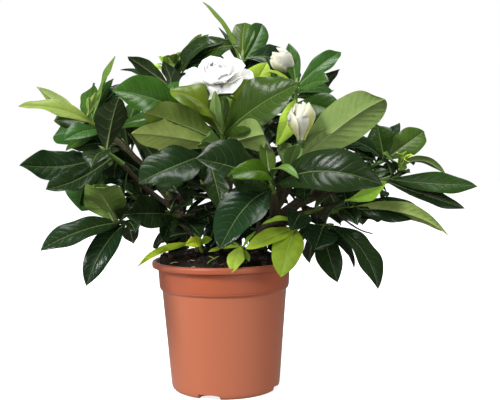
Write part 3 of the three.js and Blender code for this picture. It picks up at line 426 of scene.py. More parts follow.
HEART_PETALS = [Furled(*petal, tint="petal") for petal in (
    (262, 1.4, 0.88, 1.12, 2.4, 0.2), (25, 1.35, 0.95, 1.09, 2.6, 0.3), (148, 1.35, 0.92, 1.1, 2.6, 0.3),
    (215, 1.4, 0.96, 0.94, 3.0), (330, 1.4, 0.98, 0.92, 3.0), (90, 1.5, 1.02, 0.9, 3.0),
    (290, 1.6, 1.0, 0.72, 3.6), (120, 1.6, 1.02, 0.7, 3.6), (230, 1.6, 1.02, 0.4, 4.4),
    (50, 1.6, 1.0, 0.4, 4.4), (180, 1.7, 0.98, 0.2, 5.0),
)]
BUD_PETALS = dict(
    bud_front=[
        Furled(202, 0.85, 0.74, 1.02, 1.8, 0.1), Furled(262, 0.62, 0.80, 0.96, 1.8, 0.1, "cream"),
        Furled(316, 0.95, 1.0, 1.0, 2.2, 0.15), Furled(60, 1.15, 0.94, 0.98, 2.4),
        Furled(140, 1.1, 0.88, 0.96, 2.4), Furled(275, 1.2, 1.04, 0.7, 3.2, tint="cream"),
        Furled(110, 1.4, 1.02, 0.66, 3.2, tint="cream"), Furled(20, 1.5, 1.0, 0.4, 3.6, tint="cream"),
        Furled(200, 1.5, 1.0, 0.4, 3.6, tint="cream"),
    ],
    bud_back=[
        Furled(190, 1.0, 0.98, 1.0, 2.4), Furled(280, 0.95, 0.9, 0.98, 2.2, tint="cream"),
        Furled(0, 1.0, 1.0, 1.0, 2.4, tint="cream"), Furled(90, 1.1, 0.94, 0.98, 2.4),
        Furled(240, 1.2, 1.05, 0.68, 3.2, tint="cream"), Furled(60, 1.4, 1.0, 0.64, 3.2, tint="cream"),
        Furled(0, 1.5, 1.0, 0.4, 3.6, tint="cream"), Furled(180, 1.5, 1.0, 0.4, 3.6, tint="cream"),
    ],
)

# Leaves whose tone is not their shoot's own, by their place in its list
LEAF_TONES = dict(
    # Painted light: leaves 6 and 7 of shoot_bloom lie in the shade of the leaves over them and take tones
    # lighter than their own to make up for it.
    shoot_bloom={0: "light", 1: "leafy", 2: "moss", 4: "young", 5: "leafy", 6: "light", 7: "pale"},
    shoot_front={0: "moss", 1: "olive", 2: "olive", 3: "fresh"},
    shoot_bud={0: "light", 1: "light"},
    shoot_left_low={0: "leafy"},
    shoot_left_mid={4: "fresh"},
    shoot_left_high={0: "olive", 3: "light", 4: "light"},
    shoot_gloss={0: "gloss"},
    shoot_right_top={4: "young", 6: "lime"},
    shoot_right_back={0: "moss", 1: "forest"},
    shoot_right_end={0: "olive", 3: "forest"},
    shoot_right_mid={1: "pale"},
    shoot_top={0: "moss", 2: "olive", 3: "dark", 4: "dark", 5: "dark"},
    shoot_top_left={0: "moss", 2: "forest"},
    shoot_top_left_tip={0: "lime", 1: "lime", 2: "lime", 3: "lime"},
    shoot_right_end_tip={0: "lime", 1: "lime", 2: "lime"},
    sprout_left={0: "sprout", 1: "sprout", 2: "lime"},
    sprout_front={0: "lime"},
)
# How far some leaves turn their upper face to the front, where their solids turn it less or more
LEAF_FACES = dict(
    shoot_bloom={2: 66}, shoot_front={4: 56}, shoot_gloss={0: 62}, shoot_left_low={3: 38},
    shoot_right_low={3: 5}, shoot_right_end={4: 50}, shoot_right_mid={1: -52},
    shoot_top={0: 5}, sprout_left={0: 30, 1: 60},
)

# Leaves that the solids leave out: root, tip, width, face, arch and tone
EXTRA_LEAVES = dict(
    rear_left_low=[
        ((-50, 112, 170), (-40, 89, 114), 34, 75, 0.05, "dark"),
        ((-50, 112, 170), (-58, 86, 118), 30, 75, 0.05, "dark"),
    ],
    rear_mid_low=[
        ((-4, 130, 192), (17, 93, 113), 36, 75, 0.05, "dark"),
        ((-4, 130, 192), (-13, 93, 114), 32, 75, 0.05, "dark"),
    ],
    rear_right_low=[
        ((40, 120, 174), (45, 89, 113), 34, 75, 0.05, "dark"),
        ((40, 120, 174), (70, 84, 116), 32, 75, 0.05, "dark"),
    ],
    inner_mid=[
        ((9, -12, 184), (23, -6, 140), 22, 40, 0.04, "dark"),
    ],
    inner_low=[
        ((-17, -10, 179), (-12, 0, 138), 20, 40, 0.04, "dark"),
    ],
    shoot_left_low=[
        ((-99, -62, 169), (-114, -78, 204), 36, -50, 0.05, "leafy"),
    ],
    shoot_bloom=[
        ((0, -72, 250), (-43, -100, 286), 38, 55, 0.14, "leafy"),
        ((4, -66, 252), (44, -30, 314), 28, 50, 0.03, "young"),
    ],
    shoot_top=[
        ((15, 6, 336), (-40, 34, 305), 30, 45, 0.24, "dark"),
        ((18, 3, 332), (-24, 20, 318), 28, 60, 0.2, "forest"),
        ((25, 2, 320), (56, 22, 309), 32, 60, 0.35, "dark"),
    ],
    shoot_top_left=[
        ((-50, 62, 307), (-35, 50, 320), 16, 60, 0.04, "dark"),
        ((-49, 60, 310), (-36, 45, 293), 24, 75, 0.04, "dark"),
        ((-44, 62, 313), (-20, 70, 353), 12, 45, 0.03, "moss"),
    ],
    shoot_right_top=[
        ((73, -10, 286), (53, 12, 309), 24, 50, 0.1, "mid"),
    ],
    shoot_right_mid=[
        ((112, -50, 184), (146, -75, 202), 17, 65, -0.15, "young"),
        ((123, -20, 179), (152, -30, 168), 22, 50, 0.1, "dark"),
    ],
    shoot_left_mid=[
        ((-118, -35, 225), (-133, -30, 177), 46, 80, 0.03, "mid"),
        # A leaf inside the crown, in the half-bright dark tone: painted shade.
        ((-109, -30, 228), (-124, -12, 178), 30, 60, 0.02, "shade_dark"),
    ],
    shoot_left_high=[
        ((-122, -16, 260), (-156, -30, 262), 22, 50, 0.06, "forest"),
        ((-122, -14, 264), (-104, -2, 303), 13, 30, 0.04, "mid"),
        ((-120, -12, 266), (-94, 6, 297), 20, 40, 0.1, "dark"),
    ],
    shoot_right_end=[
        ((164, -6, 199), (197, -10, 184), 12, 40, -0.05, "dark"),
        ((170, -10, 208), (151, -34, 227), 15, 50, 0.06, "olive"),
        ((171, -10, 205), (174, -40, 210), 8, 20, 0.05, "forest"),
    ],
    shoot_right_back=[
        ((163, 26, 219), (158, 40, 255), 30, 50, 0.02, "forest"),
        ((158, 24, 222), (123, 0, 240), 26, 55, 0.08, "dark"),
    ],
    shoot_right_end_tip=[
        ((173, -12, 216), (165, -26, 228), 9, 30, 0.1, "lime"),
        ((174, -12, 215), (179, -26, 225), 10, 30, 0.1, "lime"),
        ((173, -12, 215), (172, -34, 220), 9, 30, 0.1, "lime"),
    ],
    shoot_top_left_tip=[
        ((-53, 56, 310), (-73, 46, 317), 10, 40, 0.12, "lime"),
        ((-53, 56, 311), (-63, 46, 327), 11, 50, 0.08, "lime"),
        ((-52, 56, 311), (-54, 42, 327), 10, 50, 0.08, "lime"),
        ((-51, 56, 312), (-45, 50, 330), 9, 40, 0.08, "lime"),
    ],
    sprout_left=[
        ((-26, -20, 141), (-11, -30, 148), 10, 40, 0.1, "sprout"),
    ],
)

# The crown's outline as the front shows it, on the plane through the pot's axis
CROWN_OUTLINE = metres([
    (-144, 263), (-127, 282), (-112, 307), (-92, 319), (-61, 327), (-39, 338), (-18, 350), (-1, 348),
    (16, 334), (42, 334), (75, 317), (104, 300), (119, 285), (138, 268), (145, 253), (177, 232),
    (172, 212), (187, 193), (172, 178), (143, 171), (125, 159), (109, 134), (92, 123), (71, 126),
    (-61, 122), (-71, 139), (-86, 152), (-102, 168), (-122, 183), (-143, 193), (-157, 207), (-153, 232),
]).tolist()
FILL = Sizes(
    grid=0.0035, tries=26, depth=(-0.03, 0.11), near=6, reach=(0.5, 0.78), length=(0.026, 0.062),
    slimness=0.42, face=(10, 65), arch=(0.02, 0.1), stalk=0.15, lowest=0.128, front=-0.03,
    front_lowest=0.158, rows=6,
)
BRANCH_SITES = Sizes(first=0.2, last=1.0, count=8)

# The finishes of a mesh, in the order of its material slots
UPPER, LOWER, GREEN, WHITE, BUD, BARK = range(6)


# How a blade differs from a flat sheet. Heights are shares of its half width, or of the distance
# between two side veins for the quilting.
@dataclass(frozen=True)
class Style:
    rows: int
    columns: int
    spacing: float
    skew: float = 0.7
    fold: float = 0.26
    roll: float = 0.07
    cup: float = 0.0
    wave: float = 0.17
    quilt: float = 0.05
    ruffle: float = 0.0
    groove: float = 0.0004
    rib: float = 0.0009
    thickness: float = 0.0005
    finishes: tuple = (UPPER, LOWER)


FRONT_LEAF = Style(rows=5, columns=12, spacing=0.0085)
INNER_LEAF = Style(rows=4, columns=8, spacing=0.0095)
YOUNG_LEAF = Style(rows=5, columns=10, spacing=0.0075, quilt=0.05, thickness=0.0004, rib=0.0006)
TINY_LEAF = Style(rows=4, columns=6, spacing=0.006, quilt=0.02, thickness=0.0004, rib=0.0004)
FILL_LEAF = Style(rows=3, columns=6, spacing=0.011)
PETAL = Style(
    rows=4, columns=14, spacing=0.009, skew=0.35, fold=0.0, roll=0.22, cup=0.45, wave=0.09, quilt=0.0,
    ruffle=0.05, groove=0.0, rib=0.0, thickness=0.0006, finishes=(WHITE, WHITE),
)
SEPAL = Style(rows=4, columns=4, spacing=0.006, wave=0.0, quilt=0.0, rib=0.0008, thickness=0.0006)
TINY_LENGTH = 0.022
FULL_WIDTH = 0.03
PETAL_TRIM = 0.94
GROOVE_WIDTH = 0.0009
RIB_WIDTH = 0.0008
RIB_TAPER = 0.75

# The lie of the edges and the side veins of a blade, and its play
COLUMN_POWER = 1.15
EDGE_PLAY = 0.05
CURL_FROM = 0.7
VEINS = Sizes(
    sway=0.22, sway_rate=5, offset=0.35, offset_by=0.2, sharpness=0.8, quilt_from=0.18, ridge=0.12,
)
BLADE_PLAY = Sizes(twist=16, bow=0.02, curl=(-0.1, 0.45), life=(0.5, 1.7))

# Leaf colours, and how far each leaf may stray from its own
TINTS = dict(
    dark=(0.011, 0.027, 0.008),
    # Painted shade: the dark tone at half its brightness, for leaves inside the crown where its shade falls.
    shade_dark=(0.005, 0.014, 0.004),
    forest=(0.018, 0.045, 0.008),
    gloss=(0.024, 0.080, 0.008),
    mid=(0.028, 0.078, 0.012),
    moss=(0.040, 0.075, 0.010),
    olive=(0.090, 0.165, 0.026),
    leafy=(0.088, 0.145, 0.010),
    light=(0.185, 0.26, 0.05),
    pale=(0.32, 0.44, 0.08),
    fresh=(0.032, 0.085, 0.003),
    young=(0.23, 0.38, 0.03),
    lime=(0.42, 0.58, 0.06),
    sprout=(0.44, 0.60, 0.03),
    petal=(0.95, 0.94, 0.885),
    cream=(0.93, 0.91, 0.60),
    bud=(0.80, 0.78, 0.58),
    green=(0.11, 0.22, 0.03),
    bark=(0.060, 0.046, 0.028),
    soil=(0.013, 0.010, 0.007),
    chip=(0.052, 0.034, 0.021),
    straw=(0.55, 0.43, 0.22),
)
SLOTS = dict(dark="dark_leaf", mid="mid_leaf", olive="olive_leaf", young="young_leaf")


def unit(vector):
    return vector / np.linalg.norm(vector)


def between(start, end, angle):
    """The direction at an angle from start towards end, which is square to it."""
    return start * math.cos(angle) + end * math.sin(angle)


class Draws:
    """Seeded draws from -1 to 1, in the order in which the plant was built."""

    def __init__(self, seed):
        self.seed = seed

    def next(self):
        self.seed = (self.seed * 1664525 + 1013904223) % 4294967296
        return self.seed / 2147483648 - 1


draws = Draws(seed=20)
variety = random.Random(7)


def stray(reach):
    return variety.uniform(-reach, reach)


# Curves
def curve_point(route, share):
    """A point of the centripetal Catmull-Rom curve through the points of a route."""
    points = [np.array(point, float) for point in route]
    place = (len(points) - 1) * share
    index = min(int(place), len(points) - 2)
    weight = place - index
    start, end = points[index], points[index + 1]
    before = points[index - 1] if index > 0 else 2 * points[0] - points[1]
    after = points[index + 2] if index + 2 < len(points) else 2 * points[-1] - points[-2]
    gap0, gap1, gap2 = (math.sqrt(np.linalg.norm(b - a))
                        for a, b in ((before, start), (start, end), (end, after)))
    leave = ((start - before) / gap0 - (end - before) / (gap0 + gap1) + (end - start) / gap1) * gap1
    arrive = ((end - start) / gap1 - (after - start) / (gap1 + gap2) + (after - end) / gap2) * gap1
    square = 3 * (end - start) - 2 * leave - arrive
    cube = 2 * (start - end) + leave + arrive
    return start + weight * (leave + weight * (square + weight * cube))


def beyond(start, end, distance):
    """A point on the line from start to end, past the end."""
    start, end = np.array(start), np.array(end)
    return end + distance * unit(end - start)


# Meshes
STANDING = []


class Shape:
    """Collects the sheets and tubes of one piece, with what its finishes read from them."""

    def __init__(self):
        self.points = []
        self.faces = []
        self.face_finishes = []
        self.tints = []
        self.blades = []
        self.ribs = []
        self.count = 0

    def add(self, points, faces, face_finishes, tint, blade=None, rib=None):
        points = np.asarray(points, float).reshape(-1, 3)
        size = len(points)
        self.points.append(points)
        self.faces += [[corner + self.count for corner in face] for face in faces]
        self.face_finishes += face_finishes
        self.tints.append(np.tile([*tint, 1.0], (size, 1)))
        self.blades.append(np.zeros((size, 3)) if blade is None else blade)
        self.ribs.append(np.zeros(size) if rib is None else rib)
        self.count += size

    def outline(self):
        return np.concatenate(self.points).tolist(), self.faces

    def build(self, name, finishes, slot, nodes=(), sharp=50):
        mesh = bpy.data.meshes.new(name)
        mesh.from_pydata(np.concatenate(self.points).tolist(), [], self.faces)
        mesh.polygons.foreach_set("material_index", self.face_finishes)
        mesh.polygons.foreach_set("use_smooth", [True] * len(self.faces))
        mesh.set_sharp_from_angle(angle=math.radians(sharp))
        columns = (
            ("tint", "FLOAT_COLOR", "color", self.tints),
            ("blade", "FLOAT_VECTOR", "vector", self.blades),
            ("rib", "FLOAT", "value", self.ribs),
        )
        for title, kind, key, values in columns:
            mesh.attributes.new(title, kind, "POINT").data.foreach_set(key, np.concatenate(values).ravel())
        for finish in finishes:
            mesh.materials.append(finish)
        piece = bpy.data.objects.new(name, mesh)
        bpy.context.scene.collection.objects.link(piece)
        STANDING.append(BVHTree.FromPolygons(*self.outline()))
        return hold(piece, nodes)


def hold(piece, nodes=()):
    """Hands a finished piece to the frame."""
    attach(piece, BODY)
    if nodes:
        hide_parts(*nodes)
    return piece


def sheet_faces(rows, columns):
    """The faces of a thin closed sheet: its upper side, its lower side and its two ends."""
    across = columns + 1
    low_start = (rows + 1) * across

    def high(row, column):
        return row * across + column

    def low(row, column):
        if column in (0, columns):
            return high(row, column)
        return low_start + row * (columns - 1) + column - 1

    upper, lower = [], []
    for row in range(rows):
        for column in range(columns):
            upper.append([high(row, column), high(row, column + 1),
                          high(row + 1, column + 1), high(row + 1, column)])
            lower.append([low(row, column), low(row + 1, column),
                          low(row + 1, column + 1), low(row, column + 1)])
    ends = []
    for column in range(columns):
        start = [high(0, column), low(0, column), low(0, column + 1), high(0, column + 1)]
        end = [high(rows, column), high(rows, column + 1), low(rows, column + 1), low(rows, column)]
        ends += [list(dict.fromkeys(start)), list(dict.fromkeys(end))]
    return upper, lower + ends


SHEET_FACES = {}


def add_sheet(shape, grid, high, low, finishes, tint, blade, rib):
    """A closed sheet round a grid of points, high above and low below it, thin at its two sides."""
    rows, columns = grid.shape[0] - 1, grid.shape[1] - 1
    normals = np.cross(np.gradient(grid, axis=1), np.gradient(grid, axis=0))
    normals /= np.maximum(np.linalg.norm(normals, axis=2, keepdims=True), 1e-12)
    high, low = np.array(high), np.array(low)
    high[:, [0, -1]] = 0
    upper = grid + normals * high[..., None]
    lower = (grid - normals * low[..., None])[:, 1:-1]
    if (rows, columns) not in SHEET_FACES:
        SHEET_FACES[rows, columns] = sheet_faces(rows, columns)
    above, below = SHEET_FACES[rows, columns]
    points = np.concatenate([upper.reshape(-1, 3), lower.reshape(-1, 3)])
    blades = np.concatenate([blade.reshape(-1, 3), blade[:, 1:-1].reshape(-1, 3)])
    ribs = np.concatenate([rib.ravel(), rib[:, 1:-1].ravel()])
    face_finishes = [finishes[0]] * len(above) + [finishes[1]] * len(below)
    shape.add(points, above + below, face_finishes, tint, blades, ribs)


def ring_faces(rings, sides):
    """The faces of a closed tube: its rings one after another, then the pole of each end."""
    faces = []
    for ring in range(rings - 1):
        for side in range(sides):
            after = (side + 1) % sides
            faces.append([ring * sides + side, ring * sides + after,
                          (ring + 1) * sides + after, (ring + 1) * sides + side])
    last, pole = (rings - 1) * sides, rings * sides
    for side in range(sides):
        after = (side + 1) % sides
        faces.append([after, side, pole])
        faces.append([last + side, last + after, pole + 1])
    return faces


def add_tube(shape, route, radii, sides, finish, tint, ribs=(1, 0.0), rough=0.0):
    """A closed tube along a smooth route, with one radius for each of its rings."""
    rings = len(radii)
    shares = np.linspace(0, 1, rings)
    centres = np.array([curve_point(route, share) for share in shares])
    headings = np.gradient(centres, axis=0)
    headings /= np.linalg.norm(headings, axis=1, keepdims=True)
    angles = np.linspace(0, 2 * math.pi, sides, endpoint=False)
    wobble = 1 + ribs[1] * np.cos(ribs[0] * angles)
    first = unit(np.cross(headings[0], UP if abs(headings[0][2]) < 0.9 else np.array([1.0, 0, 0])))
    points = []
    for centre, heading, radius in zip(centres, headings, radii):
        first = unit(first - heading * np.dot(first, heading))
        second = np.cross(heading, first)
        ring = centre + radius * wobble[:, None] * (
            np.cos(angles)[:, None] * first + np.sin(angles)[:, None] * second)
        if rough:
            ring += [rough * noise.noise_vector(Vector(point) * BARK_RELIEF.scale) for point in ring]
        points.append(ring)
    points.append([centres[0] - headings[0] * radii[0] * POLES.start,
                   centres[-1] + headings[-1] * radii[-1] * POLES.end])
    faces = ring_faces(rings, sides)
    marks = np.append(np.repeat(shares, sides), [0, 1])
    blade = np.stack([np.append(np.tile(angles, rings), [0, 0]), marks, marks], axis=1)
    shape.add(np.concatenate(points), faces, [finish] * len(faces), tint, blade)


# Blades: leaves, sepals and petals
@dataclass
class Blade:
    root: np.ndarray
    tip: np.ndarray
    width: float
    upper: np.ndarray
    arch: float
    outline: tuple = LEAF_OUTLINE


def blade_frame(root, tip, face):
    """The ways along, out of the upper face and across a blade from root to tip.

    The upper face looks up, square to the blade, and is then turned to the front by face degrees.
    """
    along = unit(tip - root)
    upper = unit(UP - along * along[2])
    side = np.cross(along, upper)
    turn = math.radians(-face if side[1] > 0 else face)
    turned = between(upper, side, turn)
    return along, turned, np.cross(along, turned)


def tip_places(root, tip, face):
    """The places that the solids try for the tip of a leaf, from its own to the most bent."""
    along, upper, side = blade_frame(root, tip, face)
    length = np.linalg.norm(tip - root)
    places = [tip]
    for bend in BENDS:
        for way in range(BEND_WAYS):
            sideways = between(upper, side, 2 * math.pi * way / BEND_WAYS)
            places.append(root + length * between(along, sideways, math.radians(bend)))
    return places


def node_corners(node):
    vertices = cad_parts[node].data.vertices
    corners = np.empty(3 * len(vertices))
    vertices.foreach_get("co", corners)
    return corners.reshape(-1, 3)


def grown_blade(corners, root, tip, width, face, arch):
    """The blade whose tip the frame has, its own or bent clear of others. None if it was left out."""
    for index, place in enumerate(tip_places(root, tip, face)):
        if np.min(np.linalg.norm(corners - place, axis=1)) < SAME_PLACE:
            gentle = 1 + BEND_WAYS * (BENDS.index(GENTLE_BEND) + 1)
            end = tip if index < gentle else place
            return Blade(root, end, width, blade_frame(root, end, face)[1], arch)
    return None


def half_width(share, width, outline):
    rise, fall = outline
    widest = rise / (rise + fall)
    full = (share / widest) ** rise * (np.maximum(1 - share, 0) / (1 - widest)) ** fall
    least = np.where(share < 0.5, PETIOLE_HALF, TIP_HALF)
    return np.maximum(0.5 * width * full, least)


def blade_play():
    """The play of one blade, in the order in which it is drawn."""
    return Sizes(
        beat=stray(math.pi), twist=math.radians(stray(BLADE_PLAY.twist)), bow=stray(BLADE_PLAY.bow),
        curl=variety.uniform(*BLADE_PLAY.curl), life=variety.uniform(*BLADE_PLAY.life),
        turns=(stray(math.pi), stray(math.pi)),
    )


def blade_spine(blade, play, along):
    """The middle line of a blade at each place, with the ways across it and out of its upper face."""
    length = np.linalg.norm(blade.tip - blade.root)
    side = unit(np.cross(blade.tip - blade.root, blade.upper))
    middle = (blade.root + blade.tip) / 2 + blade.upper * 2 * blade.arch * length
    t = along[..., None]
    spine = (1 - t) ** 2 * blade.root + 2 * t * (1 - t) * middle + t ** 2 * blade.tip
    tangent = (1 - t) * (middle - blade.root) + t * (blade.tip - middle)
    tangent /= np.linalg.norm(tangent, axis=2, keepdims=True)
    normal = np.cross(side, tangent)
    twist = (play.twist * along)[..., None]
    sideways = side * np.cos(twist) + normal * np.sin(twist)
    normal = normal * np.cos(twist) - side * np.sin(twist)
    spine = spine + side * (play.bow * length * np.sin(math.pi * along))[..., None]
    curl = play.curl * length * np.maximum(along - CURL_FROM, 0) ** 2
    return spine - normal * curl[..., None], sideways, normal


def blade_form(style, play, along, across, turn):
    """The height of a blade's sheet without its veins, as a share of its half width."""
    away = np.abs(across)
    waves = play.life * along * away ** 2 * (np.sin(9 * along + turn) + 0.45 * np.sin(19 * along - turn))
    frill = away ** 3 * np.sin(13 * along + 2 * across + play.beat)
    frill = frill + 2 * along ** 4 * np.sin(4 * across + play.beat)
    form = style.fold * away - style.roll * away ** 4 + style.cup * away ** 2
    return form + style.wave * waves + style.ruffle * frill


def add_blade(shape, blade, style, tint):
    play = blade_play()
    veins = max(2, round(np.linalg.norm(blade.tip - blade.root) / style.spacing))
    columns = np.linspace(-1, 1, style.columns + 1)
    columns = np.sign(columns) * np.abs(columns) ** COLUMN_POWER
    row, across = np.meshgrid(np.linspace(0, 1, veins * style.rows + 1), columns, indexing="ij")
    away = np.abs(across)
    along = row + style.skew * row * (1 - row) * away ** 1.3
    sway = VEINS.sway * np.sin(VEINS.sway_rate * row + play.beat)
    phase = veins * row + sway + VEINS.offset * np.clip(across / VEINS.offset_by, -1, 1)
    spine, sideways, normal = blade_spine(blade, play, along)

    half = half_width(along, blade.width, blade.outline)
    full = np.clip(half / (0.3 * blade.width), 0, 1)
    turn = np.where(across > 0, *play.turns)
    between_veins = np.abs(np.sin(math.pi * phase)) ** VEINS.sharpness
    relief = style.quilt * style.spacing * min(1, blade.width / FULL_WIDTH) ** 2
    quilt = relief * between_veins * np.clip(away / VEINS.quilt_from, 0, 1) * (1 - away ** 5) * full
    reach = across * half * (1 + EDGE_PLAY * np.sin(11 * along + 2 * turn) * full * away)
    groove = style.groove * np.exp(-(reach / GROOVE_WIDTH) ** 2) * full
    height = blade_form(style, play, along, across, turn) * half + quilt - groove
    grid = spine + sideways * reach[..., None] + normal * height[..., None]

    rib = style.rib * (1 - RIB_TAPER * along) * np.exp(-(reach / RIB_WIDTH) ** 2)
    ridge = VEINS.ridge * style.rib * (1 - between_veins) * full * (1 - away)
    thick = np.full(row.shape, style.thickness / 2)
    marks = np.stack([across, phase, along], axis=2)
    add_sheet(shape, grid, thick, thick + rib + ridge, style.finishes, tint, marks, reach * 1000)


def leaf_tint(tone, reach=0.16):
    brightness = 1 + stray(reach)
    warmth = 1 + stray(reach)
    red, green, blue = TINTS[tone]
    return red * brightness * warmth, green * brightness, blue * brightness / warmth


def leaf_roots(route, count):
    shares = [ROOTING.top - ROOTING.span * i / max(count - 1, 4) for i in range(count)]
    return [curve_point(route, share) for share in shares]


def style_for(tone, length):
    if length < TINY_LENGTH:
        return TINY_LEAF
    return YOUNG_LEAF if tone in ("young", "lime") else FRONT_LEAF


def add_leaves(shape, node, route, leaves, tone):
    corners = node_corners(node)
    roots = leaf_roots(route, len(leaves))
    tones, faces = LEAF_TONES.get(node, {}), LEAF_FACES.get(node, {})
    for index, (*tip, width, face, arch) in enumerate(leaves):
        blade = grown_blade(corners, roots[index], metres(tip), metres(width), face, arch)
        if blade is None:
            continue
        if index in faces:
            blade.upper = blade_frame(blade.root, blade.tip, faces[index])[1]
        add_leaf(shape, blade, tones.get(index, tone))


def add_leaf(shape, blade, tone):
    style = style_for(tone, np.linalg.norm(blade.tip - blade.root))
    add_blade(shape, blade, style, leaf_tint(tone))


def add_extra_leaves(shape, node):
    for root, tip, width, face, arch, tone in EXTRA_LEAVES.get(node, []):
        root, tip = metres(root), metres(tip)
        add_leaf(shape, Blade(root, tip, metres(width), blade_frame(root, tip, face)[1], arch), tone)


def add_spiral(shape, corners, route, count, longest):
    """The leaves of a shoot that follows the golden-angle rule, from the youngest to the oldest."""
    roots = leaf_roots(route, count)
    heading = unit(np.array(route[-1]) - np.array(route[0]))
    axis = unit(heading + UP * SPIRAL.upward)
    right = unit(np.cross(axis, UP))
    back = np.cross(right, axis)
    for index, root in enumerate(roots):
        age = index / (count - 1)
        turn = math.radians(SPIRAL.turn * index + SPIRAL.turn_play * draws.next())
        span = SPIRAL.last_opening - SPIRAL.first_opening
        opening = math.radians(SPIRAL.first_opening + span * age)
        grown = SPIRAL.shortest + (1 - SPIRAL.shortest) * min(1, age / SPIRAL.full)
        length = longest * grown * (1 + SPIRAL.length_play * draws.next())
        way = between(axis, between(right, back, turn), opening)
        way = unit(way - UP * SPIRAL.droop * age)
        face = SPIRAL.face_play * draws.next()
        arch = SPIRAL.arch + SPIRAL.arch_play * abs(draws.next())
        blade = grown_blade(corners, root, root + way * length, SPIRAL.slimness * length, face, arch)
        if blade is None:
            continue
        tone = "forest" if age < SPIRAL.young_to else "dark"
        add_blade(shape, blade, TINY_LEAF if length < TINY_LENGTH else INNER_LEAF, leaf_tint(tone))


# Green stems and the pieces of a shoot
def add_green(shape, route, radius, leaves):
    """A green stem with a thicker ring where each leaf grows, and the bud on its end."""
    shares = np.linspace(0, 1, 4 * leaves + 6)
    knots = 1 + GREEN_FORM.knot * np.cos(math.pi * 2 * leaves * shares) ** 2
    radii = radius * knots * (GREEN_FORM.foot - GREEN_FORM.taper * shares)
    add_tube(shape, route, radii, SIDES.twig, GREEN, TINTS["green"])
    start, end = curve_point(route, 0.97), curve_point(route, 1)
    heading = unit(end - start)
    bud = [end - heading * 0.001, end + heading * TERMINAL_BUD]
    add_tube(shape, bud, BUD_RADII, SIDES.fine, GREEN, TINTS["light"])


def green_route(shoot):
    return [beyond(shoot.branch[-2], shoot.branch[-1], NODE_GAP), shoot.head]


def young_route(shoot):
    start, head = shoot.branch[-1], shoot.head
    return [beyond(start, head, NODE_GAP), beyond(start, head, YOUNG_BEND), metres(shoot.young_top)]


def joined(route, distance=ROOTED):
    """The route with its start moved back into what it grows from."""
    start = np.array(route[0])
    return [start - distance * unit(np.array(route[1]) - start), *route[1:]]


# Flowers
def flower_frame(flower):
    """Where a flower's petals root, its axis, and the ways to its right and its back."""
    heading = unit(np.array(flower.axis))
    right = unit(np.array([1.0, 0, 0]) - heading * heading[0])
    return metres(flower.root), heading, right, np.cross(heading, right)


def rosette(flower, lift, count, first, opening, length, width, arch, outline):
    """The blades of one layer, with the solids' seeded play in turn, opening and length."""
    base, heading, right, back = flower_frame(flower)
    root = base + heading * lift
    blades = []
    for index in range(count):
        turn = math.radians(first + 360 * index / count + PETAL_PLAY.turn * draws.next())
        opened = math.radians(opening + PETAL_PLAY.opening * draws.next())
        way = between(heading, between(right, back, turn), opened)
        tip = root + way * length * (1 + PETAL_PLAY.length * draws.next())
        along = unit(tip - root)
        inward = unit(heading - along * np.dot(heading, along))
        blades.append(Blade(root, tip, width, inward, arch, outline))
    return blades


def add_furled_petal(shape, flower, petal, finish):
    base, heading, right, back = flower_frame(flower)
    rows, columns = FURL.rows, FURL.columns
    row, across = np.meshgrid(np.linspace(0, 1, rows + 1), np.linspace(-1, 1, columns + 1), indexing="ij")
    swell = FURL.foot + (1 - FURL.foot) * np.sin(math.pi / 2 * np.clip(row / FURL.widest, 0, 1)) ** 1.4
    swell = swell - petal.close * np.maximum(row - FURL.widest, 0) ** 1.5
    span = petal.span * (0.5 + 0.5 * np.sin(math.pi * np.clip(row / 1.3 + 0.12, 0, 1)) ** 0.7)
    angle = math.radians(petal.angle) + petal.twist * row + span * across
    fold = FURL.fold * np.sin(7 * across + 3 * row + stray(3)) * row + FURL.curl * row ** 4 * across ** 2
    wrap = metres(flower.radius) * petal.out * (swell + fold + FURL.overlap * across)
    ragged = 0.02 * np.sin(5 * across + stray(3)) + 0.008 * np.sin(11 * across + stray(3))
    rise = row * (1 + ragged * row) - FURL.rounding * row ** 3 * across ** 2
    height = metres(flower.length) * petal.long * rise
    out = right * np.cos(angle)[..., None] + back * np.sin(angle)[..., None]
    grid = base + heading * height[..., None] + out * wrap[..., None]
    marks = np.stack([across, row, row], axis=2)
    thick = np.full(row.shape, FURL.thickness / 2)
    tint = leaf_tint(petal.tint, 0.03)
    add_sheet(shape, grid[:, ::-1], thick, thick, (finish, finish), tint, marks[:, ::-1], across * 8)


def add_calyx(shape, flower):
    """A flower's stalk, its ribbed cup and its sepals."""
    base, heading, _, _ = flower_frame(flower)
    low = base - heading * CUP.height
    stalk = [*metres(flower.stalk), low + heading * CUP.sunk]
    add_tube(shape, joined(stalk), STALK_RADIUS * np.linspace(1, 0.9, 14), SIDES.twig, GREEN, TINTS["green"])
    cup = metres(flower.calyx) * CALYX_FORM
    add_tube(shape, [low, base], cup, SIDES.calyx, GREEN, TINTS["mid"], ribs=CUP.ribs)
    for sepal in rosette(flower, -SEPALS.below, flower.sepals, SEPALS.first, SEPALS.opening,
                         SEPALS.length, SEPALS.width, SEPALS.arch, SEPAL_OUTLINE):
        add_blade(shape, sepal, SEPAL, leaf_tint("olive"))


def flower_blades(flower):
    """The open petals of a flower, layer by layer."""
    blades = []
    for index, (count, first, opening, length, width, arch) in enumerate(flower.layers):
        lift = PETAL_STEP.first + PETAL_STEP.next * index
        length, width = metres(length), metres(width)
        blades += rosette(flower, lift, count, first, opening, length, width, arch, PETAL_OUTLINE)
    return blades


def make_bloom(flower, petals, finishes):
    shape = Shape()
    for petal in petals:
        petal.tip = petal.root + (petal.tip - petal.root) * PETAL_TRIM
        add_blade(shape, petal, PETAL, leaf_tint("petal", 0.02))
    for petal in HEART_PETALS:
        add_furled_petal(shape, flower, petal, WHITE)
    shape.build(f"{flower.name}_petals", finishes, "petal", [flower.name], sharp=70)


